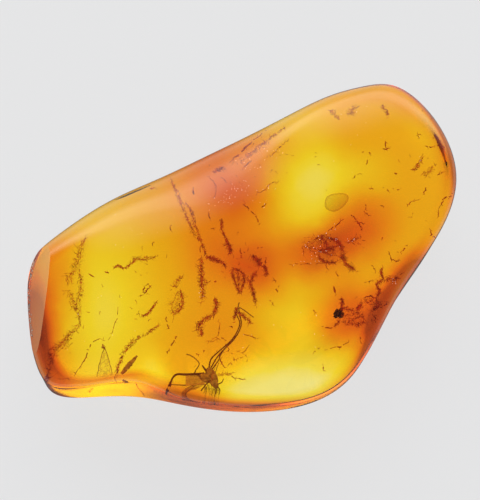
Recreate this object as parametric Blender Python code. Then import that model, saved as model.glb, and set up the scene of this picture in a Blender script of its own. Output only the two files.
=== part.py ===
"""A gnat in amber: a polished amber pebble, parted level with the gnat that it holds.

Lengths in the tables are millimetres and are turned into metres where meshes are made.
+X runs along the pebble, +Y towards its thin rounded back, +Z up. The origin is on the
floor, under the middle of the pebble.
"""
import math

import bmesh
import bpy
import numpy as np
from mathutils import Matrix, Vector

MM = 0.001

# The rim seen from above, anticlockwise from the left end: x, y, then the radius of the
# upper edge, the radius of the lower edge, and how far the wall leans in at its top. The
# front and right edges are crisp on top, the back is rounded off, and the left front keeps
# a tall leaning wall.
RIM = [
    (-17.6, -4.5, 1.0, 2.4, 0.0),
    (-17.1, -1.25, 2.2, 2.6, 0.0),
    (-14.6, 1.2, 3.2, 2.4, 0.0),
    (-11.05, 3.65, 3.4, 2.4, 0.0),
    (-7.15, 5.6, 3.7, 2.4, 0.0),
    (-3.4, 7.4, 3.7, 2.4, 0.0),
    (0.35, 9.2, 3.6, 2.4, 0.0),
    (4.0, 11.0, 3.4, 2.4, 0.0),
    (7.3, 12.6, 3.0, 2.2, 0.0),
    (10.3, 13.5, 2.6, 1.8, 0.0),
    (13.05, 13.45, 2.0, 1.6, 0.0),
    (15.5, 11.3, 1.4, 1.4, 0.0),
    (17.15, 8.35, 1.0, 1.4, 0.0),
    (17.75, 5.2, 0.9, 1.4, 0.0),
    (16.9, 1.9, 0.8, 1.4, 0.0),
    (14.95, -1.4, 0.8, 1.4, 0.0),
    (12.8, -4.55, 0.8, 1.4, 0.0),
    (11.05, -7.75, 0.7, 1.4, 0.0),
    (9.05, -10.9, 0.6, 1.5, 0.0),
    (6.2, -12.85, 0.5, 1.6, 0.0),
    (2.6, -13.6, 0.5, 1.6, 0.0),
    (-1.3, -13.55, 0.5, 1.6, 0.0),
    (-5.1, -12.95, 0.5, 1.5, 0.0),
    (-8.5, -12.3, 0.6, 1.2, 0.6),
    (-12.0, -12.3, 0.5, 1.0, 0.7),
    (-15.05, -12.3, 0.9, 1.4, 0.4),
    (-16.65, -10.05, 1.1, 2.0, 0.1),
]
MIDDLE = (-0.4, -1.2)
LONG_AXIS_TURN = math.radians(25)
HALF_LENGTH, HALF_WIDTH = 19.5, 12.5
CROWN_HEIGHT = 10.2
CROWN_DROP = 1.7
BELLY_DEPTH = 0.05
BELLY_RISE = 2.3
BELLY_POWER = 1.6
# The upper edge is a superellipse, so that it runs into the crown without a crease
EDGE_POWER = 2.5
EDGE_STRETCH = 1.21

# Gentle swellings of the two faces: x, y, spread, height
CROWN_WAVES = [
    (-10.5, -4.5, 4.0, 0.25), (-5.0, 5.5, 4.5, -0.5), (-10.5, 4.2, 4.0, -0.3),
    (0.5, 7.5, 3.5, -0.3), (6.5, 9.5, 4.5, 0.25), (12.5, 6.5, 3.5, -0.2),
    (-11.8, -12.9, 2.6, -1.9),
]
BELLY_HOLLOWS = [(-11.0, -5.0, 3.2, 0.7), (5.4, 4.6, 2.6, 0.6), (6.0, -9.0, 3.0, 0.6)]

# The polished facet on the left end: a point on it and the way it faces
FACET_POINT = (-16.5, -4.6, 7.5)
FACET_FACING = (-0.87, 0.08, 0.49)

RIM_STEPS = 72
FACE_ROWS = 7
EDGE_ROWS = 4

PARTING_HEIGHT = 6.9
PARTING_GAP = 0.3
POCKET_CLEARANCE = 0.3
ICOSAHEDRON_INRADIUS = 0.795
SHORTEST_EDGE = 0.02

AMBER = (0.86, 0.42, 0.05, 1.0)
GNAT_BROWN = (0.16, 0.07, 0.03, 1.0)
LEAF_BROWN = (0.24, 0.11, 0.04, 1.0)
BARK_BROWN = (0.06, 0.035, 0.02, 1.0)


def closed_curve(points, steps):
    """Points along the smooth closed curve that passes through all the given ones."""
    points = np.array(points)
    count = len(points)
    knots = np.zeros((count, count))
    for i in range(count):
        knots[i, i] = 4 / 6
        knots[i, (i - 1) % count] = knots[i, (i + 1) % count] = 1 / 6
    control = np.linalg.solve(knots, points)
    rows = []
    for step in range(steps):
        i, t = divmod(step * count / steps, 1)
        a, b, c, d = (control[(int(i) + k) % count] for k in (-1, 0, 1, 2))
        rows.append(
            ((1 - t) ** 3 * a + (3 * t**3 - 6 * t**2 + 4) * b + t**3 * d) / 6
            + (-3 * t**3 + 3 * t**2 + 3 * t + 1) * c / 6
        )
    return rows


def open_curve(points, per_span):
    """Points along a smooth open curve through all the given ones."""
    points = [np.array(p, dtype=float) for p in points]
    padded = [2 * points[0] - points[1]] + points + [2 * points[-1] - points[-2]]
    rows = []
    for i in range(1, len(padded) - 2):
        a, b, c, d = padded[i - 1 : i + 3]
        for step in range(per_span):
            t = step / per_span
            rows.append(
                b + (c - a) * t / 2 + (2 * a - 5 * b + 4 * c - d) * t**2 / 2
                + (3 * b - a - 3 * c + d) * t**3 / 2
            )
    rows.append(points[-1])
    return rows


def swell(x, y, swellings):
    total = 0.0
    for sx, sy, spread, height in swellings:
        total += height * math.exp(-((x - sx) ** 2 + (y - sy) ** 2) / spread**2)
    return total


def off_middle(x, y):
    """0 over the pebble's middle and about 1 at its rim, squared."""
    dx, dy = x - MIDDLE[0], y - MIDDLE[1]
    along = dx * math.cos(LONG_AXIS_TURN) + dy * math.sin(LONG_AXIS_TURN)
    across = dy * math.cos(LONG_AXIS_TURN) - dx * math.sin(LONG_AXIS_TURN)
    return (along / HALF_LENGTH) ** 2 + (across / HALF_WIDTH) ** 2


def crown_height(x, y):
    return CROWN_HEIGHT - CROWN_DROP * off_middle(x, y) + swell(x, y, CROWN_WAVES)


def belly_height(x, y):
    rise = BELLY_RISE * off_middle(x, y) ** BELLY_POWER
    return rise - BELLY_DEPTH + swell(x, y, BELLY_HOLLOWS) * min(1.0, rise)


def wall_section(rim_x, rim_y, upper_radius, lower_radius, lean):
    """The pebble's section from the middle of its belly, round the rim, to its crown."""
    out_x, out_y = rim_x - MIDDLE[0], rim_y - MIDDLE[1]
    reach = math.hypot(out_x, out_y)
    upper_reach = upper_radius * EDGE_STRETCH
    section = []

    def place(inward, face, lift):
        share = 1 - inward / reach
        x, y = MIDDLE[0] + out_x * share, MIDDLE[1] + out_y * share
        section.append((x, y, face(x, y) + lift))

    for row in range(1, FACE_ROWS):
        place(reach - (reach - lower_radius) * row / FACE_ROWS, belly_height, 0)
    for row in range(EDGE_ROWS + 1):
        turn = math.radians(90) * (1 - row / EDGE_ROWS)
        place(lower_radius * (1 - math.cos(turn)), belly_height,
              lower_radius * (1 - math.sin(turn)))
    for row in range(EDGE_ROWS + 1):
        turn = math.radians(90) * row / EDGE_ROWS
        across = math.cos(turn) ** (2 / EDGE_POWER)
        up = math.sin(turn) ** (2 / EDGE_POWER)
        place(lean + upper_reach * (1 - across), crown_height, -upper_reach * (1 - up))
    for row in range(FACE_ROWS - 1, 0, -1):
        place(reach - (reach - upper_reach - lean) * row / FACE_ROWS, crown_height, 0)
    return section


def cut_flat(bm, point, facing):
    """Cuts off all that lies beyond a plane and closes the cut with one flat face."""
    everything = bm.verts[:] + bm.edges[:] + bm.faces[:]
    cut = bmesh.ops.bisect_plane(
        bm, geom=everything, plane_co=Vector(point) * MM, plane_no=Vector(facing),
        clear_outer=True,
    )
    edges = [item for item in cut["geom_cut"] if isinstance(item, bmesh.types.BMEdge)]
    bmesh.ops.contextual_create(bm, geom=edges)


def pebble_mesh(name):
    """The whole amber pebble, with the facet on its left end and its flat resting spot."""
    bm = bmesh.new()
    sections = [wall_section(*rim) for rim in closed_curve(RIM, RIM_STEPS)]
    columns = [[bm.verts.new(Vector(p) * MM) for p in section] for section in sections]
    x, y = MIDDLE
    belly = bm.verts.new(Vector((x, y, belly_height(x, y))) * MM)
    crown = bm.verts.new(Vector((x, y, crown_height(x, y))) * MM)
    for i, column in enumerate(columns):
        before = columns[i - 1]
        bm.faces.new((belly, before[0], column[0]))
        bm.faces.new((crown, column[-1], before[-1]))
        for low in range(len(column) - 1):
            bm.faces.new((before[low], before[low + 1], column[low + 1], column[low]))
    bmesh.ops.recalc_face_normals(bm, faces=bm.faces)
    cut_flat(bm, FACET_POINT, FACET_FACING)
    cut_flat(bm, (0, 0, 0), (0, 0, -1))
    bmesh.ops.recalc_face_normals(bm, faces=bm.faces)
    mesh = bpy.data.meshes.new(name)
    bm.to_mesh(mesh)
    bm.free()
    return mesh


def material(name, colour, roughness, transmission=0.0):
    made = bpy.data.materials.new(name)
    made.use_nodes = True
    shader = made.node_tree.nodes["Principled BSDF"]
    shader.inputs["Base Color"].default_value = colour
    shader.inputs["Roughness"].default_value = roughness
    shader.inputs["Transmission Weight"].default_value = transmission
    shader.inputs["IOR"].default_value = 1.54
    return made


def add_object(name, mesh, parent, surface=None):
    made = bpy.data.objects.new(name, mesh)
    bpy.context.collection.objects.link(made)
    made.parent = parent
    if surface:
        mesh.materials.append(surface)
        mesh.shade_smooth()
        mesh.set_sharp_from_angle(angle=math.radians(40))
    else:
        made.hide_render = True
        made.display_type = "WIRE"
    return made


def add_boolean(target, other, operation, overlapping=False):
    made = target.modifiers.new(f"{operation.lower()} {other.name}", "BOOLEAN")
    made.operation = operation
    made.object = other
    made.use_self = overlapping


def mesh_from(bm, name):
    mesh = bpy.data.meshes.new(name)
    bmesh.ops.recalc_face_normals(bm, faces=bm.faces)
    bm.to_mesh(mesh)
    bm.free()
    return mesh


def add_tube(bm, path, radii, sides=6, per_span=3):
    """A closed tube along a smooth path, with its radius given at each path point."""
    rows = open_curve([(*p, r) for p, r in zip(path, radii)], per_span)
    centres = [Vector(row[:3]) * MM for row in rows]
    rings = []
    for i, (centre, row) in enumerate(zip(centres, rows)):
        forward = centres[min(i + 1, len(rows) - 1)] - centres[max(i - 1, 0)]
        side = forward.cross(Vector((0, 0, 1))).normalized()
        up = side.cross(forward).normalized()
        ring = []
        for k in range(sides):
            turn = 2 * math.pi * k / sides
            offset = (side * math.cos(turn) + up * math.sin(turn)) * row[3] * MM
            ring.append(bm.verts.new(centre + offset))
        rings.append(ring)
    for a, b in zip(rings, rings[1:]):
        for k in range(sides):
            bm.faces.new((a[k], a[k - 1], b[k - 1], b[k]))
    bm.faces.new(rings[0])
    bm.faces.new(reversed(rings[-1]))


def add_egg(bm, start, end, radius, thickness=1.0, segments=14):
    """An egg-shaped lump between two points. thickness flattens it in height."""
    start, end = Vector(start) * MM, Vector(end) * MM
    along = end - start
    turn = Vector((1, 0, 0)).rotation_difference(along).to_matrix().to_4x4()
    size = Matrix.Diagonal((along.length / 2, radius * MM, radius * thickness * MM, 1))
    bmesh.ops.create_uvsphere(
        bm, u_segments=segments, v_segments=segments // 2 + 1, radius=1,
        matrix=Matrix.Translation((start + end) / 2) @ turn @ size,
    )


def add_plate(bm, outline, thickness):
    """A thin closed plate. The outline's points are given round its edge."""
    lower = [bm.verts.new((Vector(p) - Vector((0, 0, thickness / 2))) * MM) for p in outline]
    upper = [bm.verts.new((Vector(p) + Vector((0, 0, thickness / 2))) * MM) for p in outline]
    middle = sum((Vector(p) for p in outline), Vector()) / len(outline)
    for ring, lift in ((lower, -thickness / 2), (upper, thickness / 2)):
        centre = bm.verts.new((middle + Vector((0, 0, lift))) * MM)
        for i in range(len(ring)):
            bm.faces.new((centre, ring[i - 1], ring[i]))
    for i in range(len(outline)):
        bm.faces.new((lower[i - 1], lower[i], upper[i], upper[i - 1]))


# How far the sealed gnat is moved from where its tables draw it
GNAT_SHIFT = (0.33, 0.22, 0.0)

# The gnat's trunk, as lumps that overlap: where each starts and ends, radius, flattening
TRUNK = [
    ((-3.02, -10.55, 7.0), (-2.35, -12.0, 6.9), 0.42, 0.95),
    ((-3.75, -11.1, 6.9), (-2.6, -11.65, 6.95), 0.36, 0.9),
    ((-2.85, -11.45, 6.85), (-2.2, -12.15, 6.8), 0.27, 1.0),
    ((-3.2, -11.7, 6.85), (-4.45, -12.3, 6.75), 0.2, 0.8),
    ((-4.1, -12.0, 6.8), (-5.0, -12.5, 6.75), 0.2, 0.6),
]

# Legs, feelers and the beak: the radius at each end, then the points from the trunk out
LIMBS = [
    (0.1, 0.06, [(-2.95, -10.75, 7.0), (-2.75, -9.9, 7.05), (-2.1, -9.25, 7.1),
                 (-1.05, -8.3, 7.1), (-0.45, -7.1, 7.05), (-0.7, -6.3, 7.0),
                 (-0.5, -5.35, 6.95)]),
    (0.09, 0.06, [(-2.9, -10.8, 6.9), (-2.3, -9.75, 6.8), (-1.75, -9.1, 6.8),
                  (-0.9, -8.25, 6.85), (-0.35, -7.2, 6.9), (-0.45, -6.3, 6.85),
                  (-0.45, -5.75, 6.8), (0.65, -6.5, 6.75)]),
    (0.08, 0.05, [(-2.8, -10.85, 7.1), (-2.2, -10.1, 7.25), (-1.95, -9.5, 7.3),
                  (-1.5, -8.9, 7.25), (-0.8, -8.05, 7.2)]),
    (0.09, 0.06, [(-3.3, -11.05, 7.0), (-4.2, -11.1, 7.05), (-4.85, -11.12, 7.05),
                  (-5.45, -11.1, 7.0), (-5.78, -11.35, 6.95), (-5.93, -11.7, 6.9)]),
    (0.06, 0.13, [(-5.92, -11.6, 6.9), (-5.98, -11.8, 6.9), (-6.05, -12.0, 6.85)]),
    (0.06, 0.045, [(-3.5, -11.35, 7.1), (-4.05, -11.0, 7.2), (-3.68, -10.3, 7.3),
                   (-4.2, -9.75, 7.3), (-4.7, -9.5, 7.2)]),
    (0.07, 0.05, [(-2.65, -11.5, 7.15), (-3.1, -11.9, 7.3), (-3.55, -12.45, 7.25)]),
    (0.06, 0.045, [(-2.5, -11.2, 7.1), (-2.38, -10.9, 7.25), (-2.12, -10.2, 7.35)]),
    (0.13, 0.09, [(-3.05, -10.9, 7.05), (-3.2, -10.75, 7.1), (-3.46, -10.4, 7.15)]),
    (0.06, 0.05, [(-3.3, -11.75, 6.75), (-4.6, -11.9, 6.6), (-6.1, -11.85, 6.55)]),
    (0.05, 0.045, [(-2.3, -11.9, 6.95), (-1.9, -11.75, 7.1), (-1.75, -11.45, 7.15)]),
    (0.05, 0.045, [(-2.35, -12.0, 6.9), (-2.05, -12.3, 6.95), (-2.1, -12.7, 6.95)]),
    (0.05, 0.045, [(-2.4, -12.0, 6.8), (-2.35, -12.4, 6.75), (-2.5, -12.85, 6.75)]),
]

WING_THICKNESS = 0.12
WINGS = [
    [(-3.3, -10.95, 7.0), (-4.1, -11.08, 7.05), (-4.75, -11.2, 7.05),
     (-4.78, -11.6, 7.0), (-4.75, -12.0, 6.95), (-4.0, -12.0, 6.95), (-3.2, -11.9, 6.95)],
]


def gnat_meshes():
    trunk = bmesh.new()
    for start, end, radius, thickness in TRUNK:
        add_egg(trunk, start, end, radius, thickness)
    limbs = bmesh.new()
    for thick, thin, path in LIMBS:
        spans = len(path) - 1
        radii = [thick + (thin - thick) * i / spans for i in range(spans + 1)]
        add_tube(limbs, path, radii)
    for outline in WINGS:
        add_plate(limbs, outline, WING_THICKNESS)
    meshes = mesh_from(trunk, "gnat"), mesh_from(limbs, "gnat_limbs")
    for mesh in meshes:
        mesh.transform(Matrix.Translation(Vector(GNAT_SHIFT) * MM))
    return meshes


LEAF_SPINE = [(-8.25, -9.4, 7.3), (-8.75, -9.95, 7.0), (-9.15, -10.4, 6.75),
              (-9.55, -10.85, 6.5)]
LEAF_WIDTHS = [0.06, 0.3, 0.26, 0.06]
LEAF_THICKNESS = 0.14

NEEDLE_SPINE = [(-10.1, 3.1, 6.75), (-9.3, 3.4, 6.7), (-8.4, 3.8, 6.65), (-7.3, 4.3, 6.55)]
NEEDLE_RADII = [0.05, 0.13, 0.1, 0.04]

CRUMB_START, CRUMB_END = (7.5, -6.15, 6.85), (8.25, -5.8, 7.05)
CRUMB_RADIUS = 0.33


def leaf_mesh():
    """A lens-shaped flake of leaf along a bent spine."""
    bm = bmesh.new()
    rows = open_curve([(*p, w) for p, w in zip(LEAF_SPINE, LEAF_WIDTHS)], 4)
    left, right = [], []
    for i, row in enumerate(rows):
        ahead, behind = rows[min(i + 1, len(rows) - 1)], rows[max(i - 1, 0)]
        along = Vector(ahead[:2] - behind[:2]).normalized()
        left.append((row[0] - along.y * row[3], row[1] + along.x * row[3], row[2]))
        right.append((row[0] + along.y * row[3], row[1] - along.x * row[3], row[2]))
    add_plate(bm, left + right[::-1], LEAF_THICKNESS)
    return mesh_from(bm, "leaf_flake")


def needle_mesh():
    bm = bmesh.new()
    add_tube(bm, NEEDLE_SPINE, NEEDLE_RADII)
    return mesh_from(bm, "plant_needle")


def crumb_mesh():
    """An angular crumb: an egg with its sides sliced flat."""
    bm = bmesh.new()
    add_egg(bm, CRUMB_START, CRUMB_END, CRUMB_RADIUS, 0.9, segments=12)
    middle = (Vector(CRUMB_START) + Vector(CRUMB_END)) / 2
    for facing in ((1, 0.3, 0.6), (-0.9, 0.8, 0.3), (0.2, -1, 0.5), (-0.4, -0.5, -0.8)):
        facing = Vector(facing).normalized()
        cut_flat(bm, middle + facing * CRUMB_RADIUS * 0.75, facing)
    return mesh_from(bm, "bark_crumb")


def pocket_mesh(groups, name):
    """The spaces round the sealed pieces: the convex hull of each, with clearance."""
    around = bmesh.new()
    bmesh.ops.create_icosphere(
        around, subdivisions=1, radius=POCKET_CLEARANCE / ICOSAHEDRON_INRADIUS * MM
    )
    clearance = [vert.co.copy() for vert in around.verts]
    around.free()
    bm = bmesh.new()
    for meshes in groups:
        points = [
            bm.verts.new(vert.co + step)
            for mesh in meshes for vert in mesh.vertices for step in clearance
        ]
        hull = bmesh.ops.convex_hull(bm, input=points)
        left_over = hull["geom_interior"] + hull["geom_unused"]
        inside = [item for item in left_over if isinstance(item, bmesh.types.BMVert)]
        bmesh.ops.delete(bm, geom=list(set(inside)), context="VERTS")
    bmesh.ops.remove_doubles(bm, verts=bm.verts, dist=SHORTEST_EDGE * MM)
    return mesh_from(bm, name)


def half_space_mesh(low, high, name):
    """A block far wider than the pebble, between two heights."""
    bm = bmesh.new()
    size = Matrix.Diagonal((60 * MM, 60 * MM, (high - low) * MM, 1))
    middle = Matrix.Translation((0, 0, (low + high) / 2 * MM))
    bmesh.ops.create_cube(bm, size=1, matrix=middle @ size)
    return mesh_from(bm, name)


def build():
    for old in list(bpy.data.objects):
        bpy.data.objects.remove(old, do_unlink=True)

    rim = np.array(closed_curve(RIM, 720))[:, :2]
    middle = (rim.min(axis=0) + rim.max(axis=0)) / 2
    piece = bpy.data.objects.new("amber_piece", None)
    bpy.context.collection.objects.link(piece)
    piece.location = (-middle[0] * MM, -middle[1] * MM, 0)

    trunk, limbs = gnat_meshes()
    gnat = add_object("gnat", trunk, piece, material("gnat", GNAT_BROWN, 0.5))
    add_boolean(gnat, add_object("gnat_limbs", limbs, piece), "UNION", overlapping=True)

    leaf = leaf_mesh()
    add_object("leaf_flake", leaf, piece, material("leaf", LEAF_BROWN, 0.6))
    needle = needle_mesh()
    add_object("plant_needle", needle, piece, material("needle", LEAF_BROWN, 0.5))
    crumb = crumb_mesh()
    add_object("bark_crumb", crumb, piece, material("bark", BARK_BROWN, 0.8))

    sealed = [[trunk, limbs], [leaf], [needle], [crumb]]
    pockets = add_object("pockets", pocket_mesh(sealed, "pockets"), piece)

    halves = {
        "amber_upper": (-5, PARTING_HEIGHT + PARTING_GAP / 2),
        "amber_lower": (PARTING_HEIGHT - PARTING_GAP / 2, 20),
    }
    amber = material("amber", AMBER, 0.04, transmission=1.0)
    for name, (low, high) in halves.items():
        half = add_object(name, pebble_mesh(name), piece, amber)
        other_half = add_object(f"{name}_cut", half_space_mesh(low, high, f"{name}_cut"), piece)
        add_boolean(half, other_half, "DIFFERENCE")
        add_boolean(half, pockets, "DIFFERENCE")


build()
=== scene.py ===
"""A gnat in amber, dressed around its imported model.

The polished pebble is one clear solid here. The gnat, the bits of plant, the cracks and the
sparkles lie inside it. The pebble's and the gnat's tables are millimetres on the pebble's
own plan, as in its solid model. The cracks and flecks are placed by the pixel of the
480 by 500 photograph where they show, and by how deep they lie under the surface.
"""
import math
import random

import bpy
import numpy as np
from mathutils import Matrix, Vector, noise
from mathutils.bvhtree import BVHTree


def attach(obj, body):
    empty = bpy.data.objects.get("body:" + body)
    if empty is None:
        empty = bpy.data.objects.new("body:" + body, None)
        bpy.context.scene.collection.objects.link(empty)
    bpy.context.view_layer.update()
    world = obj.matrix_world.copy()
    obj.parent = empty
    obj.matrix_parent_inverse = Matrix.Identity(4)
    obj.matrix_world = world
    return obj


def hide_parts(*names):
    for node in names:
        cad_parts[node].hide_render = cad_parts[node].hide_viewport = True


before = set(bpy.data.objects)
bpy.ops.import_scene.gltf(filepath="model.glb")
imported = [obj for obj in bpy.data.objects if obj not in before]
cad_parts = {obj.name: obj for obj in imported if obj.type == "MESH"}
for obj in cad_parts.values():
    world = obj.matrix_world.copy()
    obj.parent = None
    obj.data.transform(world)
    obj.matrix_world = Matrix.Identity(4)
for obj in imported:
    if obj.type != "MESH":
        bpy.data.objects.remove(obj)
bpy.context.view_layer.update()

bl_info = {
    "name": "Gnat in Amber",
    "version": (1, 0, 0),
    "blender": (4, 5, 0),
    "location": "3D View > Sidebar > Amber",
    "description": "Builds a polished amber pebble with a sealed gnat and its studio stage",
    "category": "Object",
}

MM = 0.001

# The pebble's rim seen from above: x, y, radius of the upper edge, radius of the lower
# edge, how far the wall leans in at its top, then the painted shade: how much deeper the
# colour is painted on the upper edge, on the wall, and along the outermost line of the upper
# edge, for the darker look that long paths and total internal reflection give the rim
RIM = [
    (-17.6, -4.5, 1.0, 2.4, 0.0, 0.2, 0.15, 0.2),
    (-17.1, -1.25, 2.2, 2.6, 0.0, 0.1, 0.1, 0.0),
    (-14.6, 1.2, 3.2, 2.4, 0.0, 0.05, 0.0, 0.0),
    (-11.05, 3.65, 3.4, 2.4, 0.0, 0.0, 0.0, 0.0),
    (-7.15, 5.6, 3.7, 2.4, 0.0, 0.0, 0.0, 0.0),
    (-3.4, 7.4, 3.7, 2.4, 0.0, 0.0, 0.0, 0.0),
    (0.35, 9.2, 3.6, 2.4, 0.0, 0.0, 0.0, 0.0),
    (4.0, 11.0, 3.4, 2.4, 0.0, 0.0, 0.0, 0.0),
    (7.3, 12.6, 3.0, 2.2, 0.0, 0.0, 0.0, 0.0),
    (10.3, 13.5, 2.6, 1.8, 0.0, 0.05, 0.1, 0.2),
    (13.05, 13.45, 2.0, 1.6, 0.0, 0.1, 0.2, 0.7),
    (15.5, 11.3, 1.4, 1.4, 0.0, 0.1, 0.2, 1.0),
    (17.15, 8.35, 1.0, 1.4, 0.0, 0.12, 0.2, 1.3),
    (17.75, 5.2, 0.9, 1.4, 0.0, 0.1, 0.2, 0.8),
    (16.9, 1.9, 0.8, 1.4, 0.0, 0.05, 0.1, 0.1),
    (14.95, -1.4, 0.8, 1.4, 0.0, 0.15, 0.25, 0.2),
    (12.8, -4.55, 0.8, 1.4, 0.0, 0.3, 0.5, 0.8),
    (11.05, -7.75, 0.7, 1.4, 0.0, 0.3, 0.6, 1.3),
    (9.05, -10.9, 0.6, 1.5, 0.0, 0.15, 0.4, 0.7),
    (6.2, -12.85, 0.5, 1.6, 0.0, 0.05, 0.35, 0.5),
    (2.6, -13.6, 0.5, 1.6, 0.0, 0.05, 0.6, 1.0),
    (-1.3, -13.55, 0.5, 1.6, 0.0, 0.05, 0.7, 1.1),
    (-5.1, -12.95, 0.5, 1.5, 0.0, 0.2, 0.55, 0.7),
    (-8.5, -12.3, 0.6, 1.2, 0.6, 0.45, 0.0, 0.0),
    (-12.0, -12.3, 0.5, 1.0, 0.7, 0.5, -0.1, 0.0),
    (-15.05, -12.3, 0.9, 1.4, 0.4, 0.5, 0.1, 0.1),
    (-16.65, -10.05, 1.1, 2.0, 0.1, 0.45, 0.4, 0.5),
]
MIDDLE = (-0.4, -1.2)
LONG_AXIS_TURN = math.radians(25)
HALF_LENGTH, HALF_WIDTH = 19.5, 12.5
CROWN_HEIGHT, CROWN_DROP = 10.2, 1.7
BELLY_DEPTH, BELLY_RISE, BELLY_POWER = 0.05, 2.3, 1.6
# Gentle swellings of the two faces: x, y, spread, height
CROWN_WAVES = [
    (-10.5, -4.5, 4.0, 0.25), (-5.0, 5.5, 4.5, -0.5), (-10.5, 4.2, 4.0, -0.3),
    (0.5, 7.5, 3.5, -0.3), (6.5, 9.5, 4.5, 0.25), (12.5, 6.5, 3.5, -0.2),
    (-11.8, -12.9, 2.6, -1.9),
]
BELLY_HOLLOWS = [(-11.0, -5.0, 3.2, 0.7), (5.4, 4.6, 2.6, 0.6), (6.0, -9.0, 3.0, 0.6)]
# The polished facet on the left end
FACET_POINT = (-16.5, -4.6, 7.5)
FACET_FACING = (-0.87, 0.08, 0.49)

AROUND = 240
FACE_ROWS = 20
WALL_ROWS = 8
EDGE_ROWS = 14
# How finely the rim is followed to find its bounding box
RIM_STEPS = 720
SHORTEST = 1e-7
# The facet meets the rounded wall at about 29 degrees, and its edge stays crisp
CREASE = math.radians(20)
# The upper edge is a superellipse, so that the polish runs into the crown without a crease
EDGE_POWER = 2.5
EDGE_STRETCH = 1.21
# How far the painted shade of the upper edge reaches over the crown
EDGE_FADE = 0.7
# How wide the painted dark line along the outermost polish is, seen from above
LINE_WIDTH = 0.8
# The share of the wall's height over which its painted shade fades out
FOOT_SHARE = 0.6


def closed_curve(points, steps):
    """Points along the smooth closed curve that passes through all the given ones."""
    points = np.array(points)
    count = len(points)
    knots = np.zeros((count, count))
    for i in range(count):
        knots[i, i] = 4 / 6
        knots[i, (i - 1) % count] = knots[i, (i + 1) % count] = 1 / 6
    control = np.linalg.solve(knots, points)
    rows = []
    for step in range(steps):
        i, t = divmod(step * count / steps, 1)
        a, b, c, d = (control[(int(i) + k) % count] for k in (-1, 0, 1, 2))
        rows.append(
            ((1 - t) ** 3 * a + (3 * t**3 - 6 * t**2 + 4) * b + t**3 * d) / 6
            + (-3 * t**3 + 3 * t**2 + 3 * t + 1) * c / 6
        )
    return rows


def open_curve(points, per_span):
    """Points along a smooth open curve through all the given ones."""
    points = [np.array(p, dtype=float) for p in points]
    padded = [2 * points[0] - points[1]] + points + [2 * points[-1] - points[-2]]
    rows = []
    for i in range(1, len(padded) - 2):
        a, b, c, d = padded[i - 1 : i + 3]
        for step in range(per_span):
            t = step / per_span
            rows.append(
                b + (c - a) * t / 2 + (2 * a - 5 * b + 4 * c - d) * t**2 / 2
                + (3 * b - a - 3 * c + d) * t**3 / 2
            )
    rows.append(points[-1])
    return rows


def swell(x, y, swellings):
    return sum(
        height * math.exp(-((x - sx) ** 2 + (y - sy) ** 2) / spread**2)
        for sx, sy, spread, height in swellings
    )


def off_middle(x, y):
    """0 over the pebble's middle and about 1 at its rim, squared."""
    dx, dy = x - MIDDLE[0], y - MIDDLE[1]
    along = dx * math.cos(LONG_AXIS_TURN) + dy * math.sin(LONG_AXIS_TURN)
    across = dy * math.cos(LONG_AXIS_TURN) - dx * math.sin(LONG_AXIS_TURN)
    return (along / HALF_LENGTH) ** 2 + (across / HALF_WIDTH) ** 2


def crown_height(x, y):
    return CROWN_HEIGHT - CROWN_DROP * off_middle(x, y) + swell(x, y, CROWN_WAVES)


def belly_height(x, y):
    rise = BELLY_RISE * off_middle(x, y) ** BELLY_POWER
    return rise - BELLY_DEPTH + swell(x, y, BELLY_HOLLOWS) * min(1.0, rise)


def plan_shift():
    """From the pebble's own plan to the middle of its bounding box."""
    rim = np.array(closed_curve(RIM, RIM_STEPS))[:, :2]
    return Vector((*-(rim.min(axis=0) + rim.max(axis=0)) / 2, 0))


SHIFT = plan_shift()


def spot(x, y, z):
    """A place in metres, from millimetres on the pebble's own plan."""
    return (Vector((x, y, z)) + SHIFT) * MM


# How far the sealed gnat is moved from where its tables draw it
GNAT_SHIFT = (0.33, 0.22, 0.0)


def on_gnat(*place):
    """A place in metres, from millimetres in the gnat's own tables."""
    return spot(*place) + Vector(GNAT_SHIFT) * MM


def wall_section(rim_x, rim_y, upper_radius, lower_radius, lean, painted_edge_shade, painted_wall_shade,
                 painted_line_shade):
    """The pebble's section from the middle of its belly, round the rim, to its crown.

    Each point has its x, y, z and how much painted shade deepens the amber's colour there.
    """
    out_x, out_y = rim_x - MIDDLE[0], rim_y - MIDDLE[1]
    reach = math.hypot(out_x, out_y)

    def place(inward, face, lift, depth=0.0):
        share = 1 - inward / reach
        x, y = MIDDLE[0] + out_x * share, MIDDLE[1] + out_y * share
        return np.array((x, y, face(x, y) + lift, depth))

    section = [place(reach, belly_height, 0)]
    for row in range(1, FACE_ROWS):
        section.append(place(reach - (reach - lower_radius) * row / FACE_ROWS, belly_height, 0))
    for row in range(EDGE_ROWS + 1):
        turn = math.radians(90) * (1 - row / EDGE_ROWS)
        section.append(place(lower_radius * (1 - math.cos(turn)), belly_height,
                             lower_radius * (1 - math.sin(turn)),
                             painted_wall_shade * row / EDGE_ROWS))
    upper = []
    upper_reach = upper_radius * EDGE_STRETCH
    for row in range(EDGE_ROWS + 1):
        turn = math.radians(90) * row / EDGE_ROWS
        across = math.cos(turn) ** (2 / EDGE_POWER)
        up = math.sin(turn) ** (2 / EDGE_POWER)
        line = max(0.0, 1 - upper_reach * (1 - across) / LINE_WIDTH)
        upper.append(place(lean + upper_reach * (1 - across), crown_height,
                           -upper_reach * (1 - up),
                           painted_edge_shade * row / EDGE_ROWS + painted_line_shade * line))
    foot = section[-1]
    for row in range(1, WALL_ROWS):
        point = foot + (upper[0] - foot) * row / WALL_ROWS
        tint = max(0.0, 1 - row / WALL_ROWS / FOOT_SHARE)
        point[3] = painted_wall_shade * tint + painted_line_shade * row / WALL_ROWS
        section.append(point)
    section += upper
    for row in range(FACE_ROWS - 1, -1, -1):
        inner = reach - (reach - upper_reach - lean) * row / FACE_ROWS
        fade = max(0.0, 1 - (inner - upper_reach - lean) / EDGE_FADE)
        section.append(place(inner, crown_height, 0, painted_edge_shade * fade**2))
    return section


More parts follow.
